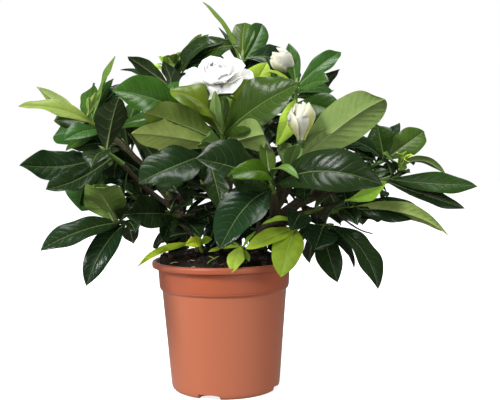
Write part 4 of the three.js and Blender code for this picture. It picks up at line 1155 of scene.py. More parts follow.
def make_bud(flower, finishes):
    shape = Shape()
    for petal in BUD_PETALS[flower.name]:
        add_furled_petal(shape, flower, petal, BUD if petal.tint == "bud" else WHITE)
    shape.build(f"{flower.name}_petals", finishes, "bud_petal", [flower.name], sharp=70)


# Woody stems
def add_wood(shape, route, radius, start, end, sides):
    """A woody twig, whose radius goes from one share to another, with knots and cracked bark."""
    length = sum(np.linalg.norm(b - a) for a, b in zip(route, route[1:]))
    shares = np.linspace(0, 1, max(8, int(length / WOOD.ring_step)))
    knots = 1 + WOOD.knot * np.sin(shares * length * WOOD.knot_rate) ** 8
    radii = (radius * start + (radius * end - radius * start) * shares) * knots
    add_tube(shape, route, radii, sides, BARK, TINTS["bark"], rough=BARK_RELIEF.wood)


def make_stem(name, shoots, finishes):
    shape = Shape()
    add_wood(shape, metres(STEMS[name]), TRUNK_RADIUS, 1, 0.86, SIDES.trunk)
    for shoot in shoots:
        if shoot.stem == name:
            add_wood(shape, shoot.branch, BRANCH_RADIUS, 1.08, 0.85, SIDES.branch)
    shape.build(f"{name}_wood", finishes, "bark", [name])


# The pot
def arc_corner(before, corner, after, radius, steps=4):
    """Points that round a corner of an outline with a small curve."""
    corner, before, after = (np.array(point) for point in (corner, before, after))
    reach = min(radius, 0.49 * np.linalg.norm(before - corner), 0.49 * np.linalg.norm(after - corner))
    start = corner + reach * unit(before - corner)
    end = corner + reach * unit(after - corner)
    shares = np.linspace(0, 1, steps + 1)
    return [tuple((1 - s) ** 2 * start + 2 * s * (1 - s) * corner + s ** 2 * end) for s in shares]


def pot_outline():
    """The pot's cross-section from the middle of its underside, round its lip, to its floor inside."""
    lip_low = POT.height - POT.lip_height
    wall, lip, pad, ring = POT.wall, POT.lip_radius, POT.pad_radius, POT.foot_ring_inner
    band_top, band_low, body_top, body_low = (
        POT.band_top_radius, POT.band_low_radius, POT.body_top_radius, POT.body_low_radius)
    corners = [
        (pad, 0.0, 0.0005), (pad + 0.002, POT.floor_underside, 0.0005),
        (ring - 0.002, POT.floor_underside, 0.0005), (ring, 0.0, 0.0005), (POT.foot_radius, 0.0, 0.0009),
        (body_low - 0.0006, 0.002, 0.0008), (body_low, POT.body_low, 0.0008),
        (body_top, POT.step_low, 0.0005), (band_low - 0.0004, POT.band_low - 0.0008, 0.0004),
        (band_low - 0.0004, POT.band_low + 0.0004, 0.0002),
        (band_low, POT.band_low + 0.0008, 0.0002), (band_top, lip_low - 0.001, 0.0004),
        (band_top - POT.groove, lip_low - 0.0003, 0.0003), (band_top + 0.001, lip_low, 0.0004),
        (lip - 0.0002, lip_low, 0.0007), (lip, lip_low + 0.002, 0.0006),
        (lip, POT.height - 0.0014, 0.001), (lip - 0.0014, POT.height, 0.0012),
        (lip - 0.0036, POT.height, 0.0014), (band_top - wall, lip_low, 0.001),
        (band_low - wall, POT.band_low + 0.0006, 0.0004), (body_top - wall, POT.step_low, 0.0004),
        (body_low - wall, POT.floor_top + 0.001, 0.001), (body_low - wall - 0.001, POT.floor_top, 0.0005),
        (POT.floor_end, POT.floor_top, 0.0),
    ]
    places = [(radius, height) for radius, height, _ in corners]
    outline = [places[0]]
    for index in range(1, len(corners) - 1):
        outline += arc_corner(places[index - 1], places[index], places[index + 1], corners[index][2])
    return outline + [places[-1]]


def deselect_all():
    bpy.ops.object.select_all(action="DESELECT")


def turned_piece(name, outline, segments):
    """Turns an outline round the upright axis, ring by ring, from a disc to a closed floor."""
    deselect_all()
    radius, height = outline[0]
    bpy.ops.mesh.primitive_circle_add(vertices=segments, radius=radius, fill_type="TRIFAN",
                                      location=(0, 0, height))
    piece = bpy.context.object
    piece.name = name
    bpy.ops.object.mode_set(mode="EDIT")
    bpy.ops.mesh.select_all(action="SELECT")
    bpy.ops.mesh.region_to_loop()
    for next_radius, next_height in outline[1:]:
        bpy.ops.mesh.extrude_edges_move(TRANSFORM_OT_translate={"value": (0, 0, next_height - height)})
        scale = next_radius / radius
        bpy.ops.transform.resize(value=(scale, scale, 1), center_override=(0, 0, next_height))
        radius, height = next_radius, next_height
    bpy.ops.mesh.merge(type="CENTER")
    bpy.ops.mesh.select_all(action="SELECT")
    bpy.ops.mesh.remove_doubles(threshold=1e-6)
    bpy.ops.mesh.normals_make_consistent(inside=False)
    bpy.ops.object.mode_set(mode="OBJECT")
    bpy.ops.object.transform_apply(location=True, rotation=True, scale=True)
    return piece


def cut(piece, cutter):
    modifier = piece.modifiers.new("cut", "BOOLEAN")
    modifier.operation = "DIFFERENCE"
    modifier.solver = "EXACT"
    modifier.object = cutter
    deselect_all()
    bpy.context.view_layer.objects.active = piece
    piece.select_set(True)
    bpy.ops.object.modifier_apply(modifier=modifier.name)
    bpy.data.objects.remove(cutter)


def make_pot(finish):
    pot = turned_piece("pot_turned", pot_outline(), POT.segments)
    for index in range(DRAIN.count):
        angle = 2 * math.pi * (index + 0.5) / DRAIN.count
        place = (DRAIN.ring_radius * math.cos(angle), DRAIN.ring_radius * math.sin(angle), 0)
        bpy.ops.mesh.primitive_cylinder_add(vertices=DRAIN.sides, radius=DRAIN.radius, depth=DRAIN.depth,
                                            location=place)
        cut(pot, bpy.context.object)
    for index in range(NOTCH.count):
        angle = math.radians(NOTCH.first + 360 * index / NOTCH.count)
        place = (POT.foot_radius * math.sin(angle), -POT.foot_radius * math.cos(angle), 0)
        bpy.ops.mesh.primitive_cube_add(size=1, location=place, rotation=(0, 0, angle))
        cutter = bpy.context.object
        cutter.scale = (NOTCH.width, NOTCH.depth, 2 * NOTCH.height)
        cut(pot, cutter)
    pot.data.materials.append(finish)
    deselect_all()
    bpy.context.view_layer.objects.active = pot
    pot.select_set(True)
    bpy.ops.object.shade_smooth_by_angle(angle=math.radians(POT.smooth_to))
    hold(pot, ["pot"])


# Soil, with bark chips, crumbs and fibres
def soil_top(x, y):
    share = math.hypot(x, y) / POT.band_low_radius
    heap = SOIL.mound * max(0.0, 1 - share * share) ** 0.8
    lumps = math.sin(310 * x + 1) * math.cos(270 * y) + math.sin(130 * x - 190 * y + 2)
    return SOIL.edge + heap + SOIL.relief * lumps * min(1.0, 3 * (1 - share))


def soil_surface(x, y):
    share = math.hypot(x, y) / POT.band_low_radius
    towards = max(0.0, math.cos(math.atan2(y, x) - math.radians(SOIL.bank)))
    height = soil_top(x, y) + SOIL.bank_height * towards ** 2 * share ** 4
    for scale, roughness, octaves, reach in SOIL_LUMPS:
        height += reach * noise.fractal(Vector((x, y, 0)) * scale, roughness, 2.0, octaves)
    return height


def make_soil(finish):
    clear = POT.wall + TOUCH
    edge = POT.band_top_radius - clear - 0.0002
    low = POT.floor_top + TOUCH
    side = [(POT.body_low_radius - clear - 0.001, low), (POT.body_low_radius - clear, POT.floor_top + 0.002),
            (POT.body_top_radius - clear, POT.step_low), (POT.band_low_radius - clear, POT.band_low + 0.001),
            (edge, SOIL.edge - 0.001)]
    angles = np.linspace(0, 2 * math.pi, SOIL.segments, endpoint=False)
    points = [(r * math.cos(a), r * math.sin(a), z) for r, z in side for a in angles]
    for ring in range(SOIL.rings):
        r = edge * (1 - ring / SOIL.rings) - 0.0003 * (ring == 0)
        level = [(r * math.cos(a), r * math.sin(a)) for a in angles]
        points += [(x, y, soil_surface(x, y)) for x, y in level]
    points += [(0, 0, low), (0, 0, soil_surface(0, 0))]
    faces = ring_faces(len(side) + SOIL.rings, SOIL.segments)
    shape = Shape()
    shape.add(points, faces, [0] * len(faces), TINTS["soil"])
    shape.build("soil_heap", [finish], "potting_soil", ["soil"], sharp=80)


def chip_model(length, width, height, seed):
    """One bark chip or crumb: a block with blunt edges and corners that are out of place."""
    shaper = random.Random(seed)
    deselect_all()
    bpy.ops.mesh.primitive_cube_add(size=1)
    model = bpy.context.object
    model.scale = (length, width, height)
    bpy.ops.object.transform_apply(location=False, rotation=False, scale=True)
    bpy.ops.object.mode_set(mode="EDIT")
    bpy.ops.mesh.select_all(action="SELECT")
    bpy.ops.mesh.bevel(offset=CHIP_PLAY.bevel * height, segments=1, affect="EDGES")
    bpy.ops.object.mode_set(mode="OBJECT")
    points = np.array([vertex.co for vertex in model.data.vertices])
    shift = np.array([[shaper.uniform(-1, 1) for _ in range(3)] for _ in points])
    points += shift * CHIP_PLAY.corner * height
    faces = [list(face.vertices) for face in model.data.polygons]
    bpy.data.objects.remove(model)
    return points, faces


def lie_on_soil(points, spread):
    """The points of a chip, turned and scaled by chance, at a place of the heap."""
    radius = spread * math.sqrt(variety.random())
    angle = variety.uniform(0, 2 * math.pi)
    x, y = radius * math.cos(angle), radius * math.sin(angle)
    size = variety.uniform(*CHIP_PLAY.size)
    turn = Matrix.Rotation(variety.uniform(0, 2 * math.pi), 3, "Z")
    lean = Matrix.Rotation(stray(CHIP_PLAY.lean), 3, "X") @ Matrix.Rotation(stray(CHIP_PLAY.tip), 3, "Y")
    return points * size @ np.array(turn @ lean).T + [x, y, soil_surface(x, y) + CHIP_PLAY.lift]


def make_soil_pieces(finishes):
    """Chips and crumbs that lie on the heap."""
    shape = Shape()
    for kind in CHIPS:
        models = [chip_model(*kind.size, kind.seed + index) for index in range(kind.shapes)]
        for _ in range(kind.count):
            points, faces = variety.choice(models)
            placed = lie_on_soil(points, kind.spread)
            shape.add(placed, faces, [kind.finish] * len(faces), leaf_tint(kind.tint, CHIP_PLAY.colour))
    shape.build("soil_chips", finishes, "potting_soil", sharp=25)


def make_fibres(finish):
    shape = Shape()
    for route in FIBRES:
        add_tube(shape, metres(route), FIBRE_RADII, SIDES.thread, 0, TINTS["straw"])
    shape.build("soil_fibres", [finish], "potting_soil")


def make_dry_twig(finish):
    shape = Shape()
    radii = TWIG_RADIUS * np.linspace(1, 0.5, 20)
    add_tube(shape, metres(DRY_TWIG), radii, SIDES.fine, 0, TINTS["bark"], rough=BARK_RELIEF.dry)
    shape.build("dry_twig", [finish], "bark")


def make_seedling(finishes):
    """A tiny seedling with its first two leaves."""
    shape = Shape()
    route = metres(SEEDLING.path)
    add_tube(shape, route, SEEDLING_RADII, SIDES.fine, GREEN, TINTS["young"])
    head = route[-1]
    across, front, rise = SEEDLING.leaf
    for way in (-1, 1):
        tip = head + metres([across * way, front, rise])
        blade = Blade(head, tip, metres(SEEDLING.width), blade_frame(head, tip, 0)[1], SEEDLING.arch)
        add_blade(shape, blade, TINY_LEAF, leaf_tint("young"))
    shape.build("seedlings", finishes, "young_leaf")


# Finishes
class Wire:
    """An output of a node. Python's operators on it add Math nodes to the same tree."""

    def __init__(self, nodes, socket):
        self.nodes = nodes
        self.socket = socket

    def math(self, operation, *terms):
        return self.nodes.node("ShaderNodeMath", {"operation": operation}, dict(enumerate(terms)))

    def __add__(self, other):
        return self.math("ADD", self, other)

    def __sub__(self, other):
        return self.math("SUBTRACT", self, other)

    def __rsub__(self, other):
        return self.math("SUBTRACT", other, self)

    def __mul__(self, other):
        return self.math("MULTIPLY", self, other)

    def __truediv__(self, other):
        return self.math("DIVIDE", self, other)

    def __abs__(self):
        return self.math("ABSOLUTE", self)

    def fraction(self):
        return self.math("FRACT", self)

    __radd__ = __add__
    __rmul__ = __mul__


class Nodes:
    """A tree of shader nodes in the making."""

    def __init__(self, tree):
        self.tree = tree

    def feed(self, socket, value):
        if isinstance(value, Wire):
            self.tree.links.new(value.socket, socket)
        else:
            socket.default_value = value

    def node(self, kind, settings, inputs, output=0):
        node = self.tree.nodes.new(kind)
        for name, value in settings.items():
            setattr(node, name, value)
        for key, value in inputs.items():
            self.feed(node.inputs[key], value)
        return Wire(self, node.outputs[output])

    def parts(self, vector):
        return [self.node("ShaderNodeSeparateXYZ", {}, {0: vector}, axis) for axis in "XYZ"]


class Finish(Nodes):
    """A material in the making, with its surface shader's fixed sockets given by name."""

    def __init__(self, name, fixed):
        self.material = bpy.data.materials.new(name)
        self.material.use_nodes = True
        super().__init__(self.material.node_tree)
        self.shader = self.tree.nodes["Principled BSDF"]
        for socket, value in fixed.items():
            self.shader.inputs[socket].default_value = value

    @cached_property
    def place(self):
        return self.node("ShaderNodeTexCoord", {}, {}, "Object")

    @cached_property
    def tint(self):
        return self.attribute("tint", "Color")

    @cached_property
    def blade(self):
        return self.parts(self.attribute("blade", "Vector"))

    def set(self, **sockets):
        for name, value in sockets.items():
            self.feed(self.shader.inputs[name.replace("_", " ").title()], value)

    def attribute(self, name, output):
        return self.node("ShaderNodeAttribute", {"attribute_name": name}, {}, output)

    def vector(self, x, y, z):
        return self.node("ShaderNodeCombineXYZ", {}, {0: x, 1: y, 2: z})

    def noise(self, place, scale, detail=3.0, roughness=0.5):
        inputs = {"Vector": place, "Scale": scale, "Detail": detail, "Roughness": roughness}
        return self.node("ShaderNodeTexNoise", {}, inputs)

    def cells(self, place, scale, feature="DISTANCE_TO_EDGE"):
        return self.node("ShaderNodeTexVoronoi", {"feature": feature}, {"Vector": place, "Scale": scale})

    def step(self, value, low, high):
        """0 below low, 1 above high and smooth between."""
        return self.node("ShaderNodeMapRange", {"interpolation_type": "SMOOTHSTEP"},
                         {"Value": value, "From Min": low, "From Max": high})

    def scaled(self, colour, factor):
        return self.node("ShaderNodeVectorMath", {"operation": "SCALE"}, {0: colour, "Scale": factor})

    def blend(self, first, second, share):
        return self.node("ShaderNodeMix", {"data_type": "RGBA"}, {0: share, 6: first, 7: second}, 2)

    def bump(self, height, distance, strength=1.0):
        inputs = {"Strength": strength, "Distance": distance, "Height": height}
        return self.node("ShaderNodeBump", {}, inputs)


def colour(red, green, blue):
    return red, green, blue, 1.0


def leaf_marks(finish):
    """What both sides of a leaf show: side veins, midrib and how far out a place is."""
    across, phase, along = finish.blade
    rib = abs(finish.attribute("rib", "Fac"))
    off_vein = abs((phase + 0.5).fraction() - 0.5)
    veins = (1 - finish.step(off_vein, 0.012, 0.075)) * (1 - finish.step(abs(across), 0.6, 0.97))
    midrib = 1 - finish.step(rib / (1.2 - along), 0.3, 0.95)
    return veins, midrib, off_vein


def leaf_upper_finish():
    finish = Finish("leaf_upper", {"Coat Roughness": 0.1, "Specular IOR Level": 0.14})
    veins, midrib, off_vein = leaf_marks(finish)
    mottle = finish.noise(finish.place, 120.0, 4.0)
    net = finish.cells(finish.place, 420.0)
    # Painted light and shade: the colour grows lighter away from each side vein, as sheen on the quilted
    # crests and shade in the sunken veins.
    base = finish.scaled(finish.tint, 0.72 + 0.5 * mottle + 0.25 * off_vein)
    pale = finish.blend(finish.scaled(finish.tint, 2.0), colour(0.30, 0.42, 0.14), 0.3)
    base = finish.blend(base, pale, veins * 0.16)
    base = finish.blend(base, finish.blend(pale, colour(0.32, 0.42, 0.16), 0.4), midrib * 0.6)
    paleness = finish.parts(finish.tint)[1]
    rough = 0.15 + 0.1 * finish.noise(finish.place, 210.0, 2.0) + 0.08 * veins + 0.75 * paleness
    height = finish.step(net, 0.0, 0.25) * 0.35 + mottle * 0.3 - veins * 0.6
    finish.set(base_color=base, roughness=rough, coat_weight=0.02 - 0.02 * veins,
               normal=finish.bump(height, 0.00022, 0.6))
    return finish.material


def leaf_lower_finish():
    finish = Finish("leaf_lower", {"Specular IOR Level": 0.35})
    veins, midrib, _ = leaf_marks(finish)
    mottle = finish.noise(finish.place, 160.0, 4.0)
    paleness = finish.parts(finish.tint)[1]
    matt = finish.blend(finish.scaled(finish.tint, 1.4), colour(0.22, 0.28, 0.13), 0.08 + 0.8 * paleness)
    base = finish.scaled(matt, 0.8 + 0.4 * mottle)
    pale = colour(0.36, 0.44, 0.18)
    base = finish.blend(base, pale, veins * 0.22)
    base = finish.blend(base, pale, midrib * 0.7)
    net = finish.cells(finish.place, 380.0)
    height = veins * 0.8 - finish.step(net, 0.0, 0.2) * 0.4 + mottle * 0.3
    finish.set(base_color=base, roughness=0.5 + 0.15 * mottle, normal=finish.bump(height, 0.0003, 0.7))
    return finish.material


def green_stem_finish():
    finish = Finish("green_stem", {})
    mottle = finish.noise(finish.place, 240.0, 4.0)
    base = finish.scaled(finish.tint, 0.7 + 0.6 * mottle)
    base = finish.blend(base, colour(0.20, 0.14, 0.05), finish.step(mottle, 0.62, 0.75) * 0.5)
    finish.set(base_color=base, roughness=0.42 + 0.2 * mottle, normal=finish.bump(mottle, 0.0003, 0.5))
    return finish.material


def petal_finish(name, green_share):
    fixed = {"Sheen Weight": 0.1, "Sheen Roughness": 0.4, "Specular IOR Level": 0.25,
             "Subsurface Weight": 0.9, "Subsurface Radius": (1.0, 1.0, 0.85), "Subsurface Scale": 0.007}
    finish = Finish(name, fixed)
    across, _, along = finish.blade
    streaks = finish.noise(finish.vector(across * 5, along * 1.2, 0.0), 3.0, 3.0)
    speckle = finish.noise(finish.place, 500.0, 3.0)
    near_root = 1 - finish.step(along, 0.0, 0.4)
    middle = (1 - finish.step(abs(across), 0.25, 1.05)) * (1 - finish.step(along, 0.5, 1.1))
    base = finish.scaled(finish.tint, 0.97 + 0.06 * streaks)
    # Painted shade: towards the root, deep in the flower, the white turns darker and warm cream, as the warm
    # shade between the petals.
    base = finish.blend(base, colour(0.76, 0.74, 0.36), near_root * 0.5)
    base = finish.blend(base, colour(0.60, 0.64, 0.12), (middle + near_root * 0.4) * green_share)
    finish.set(base_color=base, roughness=0.5 + 0.12 * speckle,
               normal=finish.bump(streaks + speckle * 0.15, 0.0004, 0.3))
    return finish.material


def bark_finish():
    finish = Finish("bark", {"Specular IOR Level": 0.25})
    around, along, _ = finish.blade
    cracks = finish.noise(finish.vector(around * 2.2, along * 9, 0.0), 2.6, 5.0, 0.65)
    grain = finish.noise(finish.place, 700.0, 4.0, 0.6)
    pores = 1 - finish.step(finish.cells(finish.place, 330.0, "F1"), 0.12, 0.26)
    base = finish.blend(finish.scaled(finish.tint, 0.55), finish.scaled(finish.tint, 1.7), cracks)
    base = finish.blend(base, colour(0.16, 0.17, 0.06), finish.step(grain, 0.55, 0.7) * 0.5)
    base = finish.blend(base, colour(0.30, 0.25, 0.17), pores * 0.5)
    finish.set(base_color=base, roughness=0.75 + 0.15 * grain,
               normal=finish.bump(cracks + grain * 0.4 + pores * 0.5, 0.0008, 0.8))
    return finish.material


def soil_finish(name, light):
    finish = Finish(name, {"Specular IOR Level": 0.2})
    lumps = finish.noise(finish.place, 260.0, 6.0, 0.7)
    grit = finish.noise(finish.place, 1400.0, 3.0, 0.7)
    base = finish.blend(finish.scaled(finish.tint, 0.5), finish.scaled(finish.tint, light), lumps)
    base = finish.blend(base, colour(0.17, 0.11, 0.065), finish.step(grit, 0.66, 0.74) * 0.5)
    finish.set(base_color=base, roughness=0.86 + 0.12 * grit,
               normal=finish.bump(lumps + grit * 0.5, 0.0011, 0.9))
    return finish.material


def straw_finish():
    finish = Finish("straw", {})
    grain = finish.noise(finish.place, 900.0, 3.0)
    base = finish.scaled(finish.tint, 0.75 + 0.5 * grain)
    finish.set(base_color=base, roughness=0.7 + 0.1 * grain, normal=finish.bump(grain, 0.0003, 0.5))
    return finish.material


def pot_finish():
    """Satin moulded plastic: faint flow marks, a very fine grain and a little dust."""
    fixed = {"Specular IOR Level": 0.5, "Sheen Weight": 0.5, "Sheen Roughness": 0.35}
    finish = Finish("pot_plastic_satin", fixed)
    x, y, z = finish.parts(finish.place)
    flow = finish.noise(finish.vector(x * 14, y * 14, z * 3), 1.0, 4.0)
    grain = finish.noise(finish.place, 2400.0, 2.0)
    rings = finish.noise(finish.vector(0.0, 0.0, z * 1500), 1.0, 2.0)
    dust = finish.noise(finish.place, 180.0, 5.0, 0.65)
    base = finish.blend(colour(0.48, 0.138, 0.066), colour(0.54, 0.162, 0.080), flow)
    base = finish.blend(base, colour(0.62, 0.24, 0.14), finish.step(dust, 0.58, 0.8) * 0.15)
    # Painted shade: above the step the plastic turns darker and redder, for the band in the shade of the
    # lip; the lip itself takes the same colour.
    lip_shade = finish.step(z, POT.step_low - 0.001, POT.band_low - 0.001)
    base = finish.blend(base, colour(0.42, 0.085, 0.030), lip_shade * 0.7)
    finish.set(base_color=base, roughness=0.36 + 0.1 * flow + 0.08 * dust,
               normal=finish.bump(grain * 0.35 + rings * 0.3 + flow * 0.4, 0.0002, 0.35))
    return finish.material


# The studio
def make_floor():
    deselect_all()
    bpy.ops.mesh.primitive_plane_add(size=FLOOR.width)
    floor = bpy.context.object
    floor.name = "floor"
    finish = Finish("floor_pale", {"Roughness": FLOOR.roughness, "Emission Strength": FLOOR.glow})
    finish.set(base_color=colour(FLOOR.grey, FLOOR.grey, FLOOR.grey), emission_color=colour(1, 1, 1))
    floor.data.materials.append(finish.material)
    floor.visible_diffuse = False
    floor.visible_glossy = False


def make_room():
    """White behind everything, and light from all round that is stronger from above."""
    world = bpy.data.worlds.new("studio")
    bpy.context.scene.world = world
    world.use_nodes = True
    world.node_tree.nodes.clear()
    room = Nodes(world.node_tree)
    height = room.parts(room.node("ShaderNodeTexCoord", {}, {}, "Generated"))[2]
    levels = {"Value": height, "From Min": ROOM.low, "From Max": ROOM.high,
              "To Min": ROOM.below, "To Max": ROOM.above}
    strength = room.node("ShaderNodeMapRange", {"interpolation_type": "SMOOTHSTEP"}, levels)
    glossy = room.node("ShaderNodeLightPath", {}, {}, "Is Glossy Ray")
    share = room.node("ShaderNodeMapRange", {}, {"Value": glossy, "To Min": 1.0, "To Max": ROOM.reflected})
    lit = room.node("ShaderNodeBackground", {}, {"Strength": strength * share})
    seen = room.node("ShaderNodeBackground", {}, {"Strength": ROOM.backdrop, "Color": colour(1, 1, 1)})
    straight = room.node("ShaderNodeLightPath", {}, {}, "Is Camera Ray")
    mix = room.node("ShaderNodeMixShader", {}, {0: straight, 1: lit, 2: seen})
    output = room.tree.nodes.new("ShaderNodeOutputWorld")
    room.feed(output.inputs["Surface"], mix)


def make_lamps():
    for name, (place, width, power) in LAMPS.items():
        lamp = bpy.data.lights.new(name, "AREA")
        lamp.shape = "SQUARE"
        lamp.size = width
        lamp.energy = power
        item = bpy.data.objects.new(name, lamp)
        heading = Vector(LIT_PLACE) - Vector(place)
        item.rotation_mode = "QUATERNION"
        item.location = place
        item.rotation_quaternion = heading.to_track_quat("-Z", "Y")
        bpy.context.scene.collection.objects.link(item)


def make_camera():
    turn, dip, roll = (math.radians(angle) for angle in (CAMERA.turn, CAMERA.dip, CAMERA.roll))
    ahead = Vector((math.sin(turn) * math.cos(dip), math.cos(turn) * math.cos(dip), -math.sin(dip)))
    level = ahead.cross(Vector(UP)).normalized()
    above = level.cross(ahead)
    right = level * math.cos(roll) - above * math.sin(roll)
    upright = level * math.sin(roll) + above * math.cos(roll)
    data = bpy.data.cameras.new("front")
    data.lens = CAMERA.lens
    data.sensor_width = CAMERA.sensor
    camera = bpy.data.objects.new("front", data)
    rotation = Matrix((right, upright, -ahead)).transposed().to_4x4()
    camera.matrix_world = Matrix.Translation(CAMERA.place) @ rotation
    bpy.context.scene.collection.objects.link(camera)
    bpy.context.scene.camera = camera


# Leaves that fill the crown between the shoots
def seen_at(point):
    """Where the front shows a point, on the plane through the pot's axis."""
    x, y, z = point
    eye_x, eye_y, eye_z = CAMERA.place
    share = -eye_y / (y - eye_y)
    return eye_x + share * (x - eye_x), eye_z + share * (z - eye_z)


def inside(outline, x, z):
    crossings = 0
    for (x1, z1), (x2, z2) in zip(outline, outline[1:] + outline[:1]):
        if (z1 > z) != (z2 > z) and x < x1 + (z - z1) * (x2 - x1) / (z2 - z1):
            crossings += 1
    return crossings % 2 == 1


def in_open_gap(x, z):
    return any(x1 < x < x2 and z1 < z < z2 for x1, z1, x2, z2 in OPEN_GAPS)


def seen_through(point):
    """Whether the background shows at a point of the front view."""
    eye = Vector(CAMERA.place)
    heading = (Vector(point) - eye).normalized()
    return all(tree.ray_cast(eye, heading)[0] is None for tree in STANDING)


def blade_strip(blade):
    """A plain strip the size of a blade, without its stalk."""
    length = np.linalg.norm(blade.tip - blade.root)
    side = unit(np.cross(blade.tip - blade.root, blade.upper))
    shares = np.linspace(FILL.stalk, 1, FILL.rows + 1)
    halves = half_width(shares, blade.width, LEAF_OUTLINE)
    rise = 4 * blade.arch * length * shares * (1 - shares)
    middles = [blade.root + (blade.tip - blade.root) * s + blade.upper * r for s, r in zip(shares, rise)]
    points = [middle + side * half * way for middle, half in zip(middles, halves) for way in (-1, 0, 1)]
    firsts = [3 * row + column for row in range(FILL.rows) for column in (0, 1)]
    faces = [[first, first + 1, first + 4, first + 3] for first in firsts]
    return points, faces


def strip_tree(strip):
    points, faces = strip
    return BVHTree.FromPolygons([tuple(point) for point in points], faces)


def fits(strip):
    """Whether a strip keeps inside the crown and out of its open gaps, and touches nothing."""
    for point in strip[0]:
        lowest = FILL.front_lowest if point[1] < FILL.front else FILL.lowest
        x, z = seen_at(point)
        if point[2] < lowest or not inside(CROWN_OUTLINE, x, z) or in_open_gap(x, z):
            return False
    own = strip_tree(strip)
    return not any(tree.overlap(own) for tree in STANDING)


def gap_spots():
    """Places on the plane through the pot's axis where the front would see through the crown."""
    left, right = (ends(x for x, _ in CROWN_OUTLINE) for ends in (min, max))
    low, high = FILL.lowest, max(z for _, z in CROWN_OUTLINE)
    spots = [(x, z) for x in np.arange(left, right, FILL.grid) for z in np.arange(low, high, FILL.grid)]
    spots = [spot for spot in spots if inside(CROWN_OUTLINE, *spot) and not in_open_gap(*spot)]
    variety.shuffle(spots)
    return spots


def behind(x, z, depth):
    """The place at a depth that the front shows over a point of the plane through the pot's axis."""
    eye = np.array(CAMERA.place)
    return eye + (np.array([x, 0.0, z]) - eye) * (1 - depth / eye[1])


def gap_leaf(x, z, sites):
    """A leaf of a nearby branch whose broad part covers a spot of the front view, or None."""
    for _ in range(FILL.tries):
        place = behind(x, z, variety.uniform(*FILL.depth))
        near = sorted(sites, key=lambda site: np.linalg.norm(site[0] - place))[:FILL.near]
        root, stem = variety.choice(near)
        tip = root + (place - root) / variety.uniform(*FILL.reach)
        length = np.linalg.norm(tip - root)
        upper = blade_frame(root, tip, variety.uniform(*FILL.face))[1]
        blade = Blade(root, tip, FILL.slimness * length, upper, variety.uniform(*FILL.arch))
        if FILL.length[0] < length < FILL.length[1] and fits(blade_strip(blade)):
            return blade, stem
    return None


def make_gap_leaves(shoots, finishes):
    """Single leaves along the woody branches, where the front would show the background."""
    shares = np.linspace(BRANCH_SITES.first, BRANCH_SITES.last, BRANCH_SITES.count)
    sites = [(curve_point(shoot.branch, share), shoot.stem) for shoot in shoots for share in shares]
    shapes = {stem: Shape() for stem in STEMS}
    for x, z in gap_spots():
        found = gap_leaf(x, z, sites) if seen_through((x, 0.0, z)) else None
        if found is None:
            continue
        blade, stem = found
        # One gap leaf in four takes the half-bright dark tone, as painted shade inside the crown.
        tone = variety.choice(("dark", "shade_dark", "dark", "forest"))
        add_blade(shapes[stem], blade, FILL_LEAF, leaf_tint(tone))
        STANDING.append(strip_tree(blade_strip(blade)))
    for stem, shape in shapes.items():
        shape.build(f"{stem}_side_leaves", finishes, "dark_leaf")


# Building, in the order of the solids' seeded draws
def make_shoot(shoot, finishes, flowers):
    shape = Shape()
    route = green_route(shoot)
    add_green(shape, joined(route), GREEN_RADIUS, len(shoot.leaves))
    for flower in flowers:
        add_calyx(shape, flower)
    add_leaves(shape, shoot.name, route, shoot.leaves, shoot.tone)
    add_extra_leaves(shape, shoot.name)
    shape.build(f"{shoot.name}_leaves", finishes, SLOTS[shoot.tone], [shoot.name])
    if shoot.young:
        make_young_tip(shoot, finishes)


def make_young_tip(shoot, finishes):
    shape = Shape()
    name = f"{shoot.name}_tip"
    route = young_route(shoot)
    add_green(shape, joined(route), SPROUT_RADIUS, 2)
    add_leaves(shape, name, route, shoot.young, "young")
    add_extra_leaves(shape, name)
    shape.build(f"{name}_leaves", finishes, "young_leaf", [name])


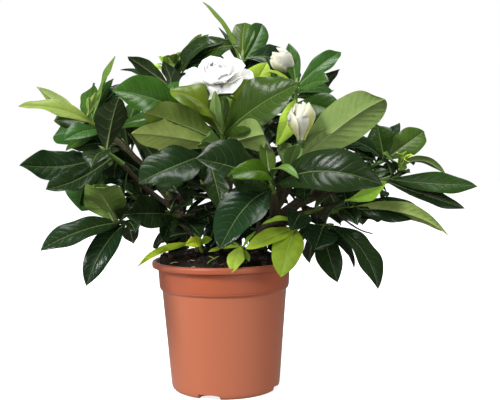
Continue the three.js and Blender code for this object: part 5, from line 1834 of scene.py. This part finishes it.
def make_sprout(sprout, finishes):
    shape = Shape()
    x, y = sprout.foot
    route = metres([(x, y, HOLE_FLOOR), (x, y, HOLE_STRAIGHT_TO), *sprout.path])
    add_tube(shape, route, SPROUT_RADIUS * np.linspace(1.2, 0.8, 18), SIDES.twig, GREEN, TINTS["young"])
    add_leaves(shape, sprout.name, metres(sprout.path), sprout.leaves, "young")
    add_extra_leaves(shape, sprout.name)
    shape.build(f"{sprout.name}_leaves", finishes, "young_leaf", [sprout.name])


def make_rule_shoot(shoot, finishes):
    shape = Shape()
    route = green_route(shoot)
    add_green(shape, joined(route), GREEN_RADIUS, shoot.count)
    add_spiral(shape, node_corners(shoot.name), route, shoot.count, metres(shoot.longest))
    add_extra_leaves(shape, shoot.name)
    shape.build(f"{shoot.name}_leaves", finishes, "dark_leaf", [shoot.name])


def make_studio():
    bpy.context.scene.view_settings.view_transform = "Standard"
    make_room()
    make_lamps()
    make_camera()
    make_floor()


def make_ground(finishes):
    """The pot, its soil and the small things on it, with a dry twig among the leaves."""
    soil = soil_finish("potting_soil_moist", 1.9)
    straw = straw_finish()
    make_pot(pot_finish())
    make_soil(soil)
    make_soil_pieces([soil, soil_finish("bark_chips", 1.6)])
    make_fibres(straw)
    make_seedling(finishes)
    make_dry_twig(straw)


def make_plant(finishes):
    for _ in range(CHIP_DRAWS):
        draws.next()
    petals = {flower.name: flower_blades(flower) for flower in FLOWERS}
    everything = SHOOTS + RULE_SHOOTS
    for name in STEMS:
        make_stem(name, everything, finishes)
    for flower in FLOWERS:
        if flower.name == "bloom":
            make_bloom(flower, petals["bloom"], finishes)
        else:
            make_bud(flower, finishes)
    for shoot in SHOOTS:
        make_shoot(shoot, finishes, [flower for flower in FLOWERS if flower.shoot == shoot.name])
    for sprout in SPROUTS:
        make_sprout(sprout, finishes)
    for shoot in RULE_SHOOTS:
        make_rule_shoot(shoot, finishes)
    make_gap_leaves(everything, finishes)


def main():
    deselect_all()
    noise.seed_set(BARK_RELIEF.seed)
    make_studio()
    finishes = [leaf_upper_finish(), leaf_lower_finish(), green_stem_finish(),
                petal_finish("petal_white", 0.0), petal_finish("petal_bud", 0.95), bark_finish()]
    make_ground(finishes)
    make_plant(finishes)


main()
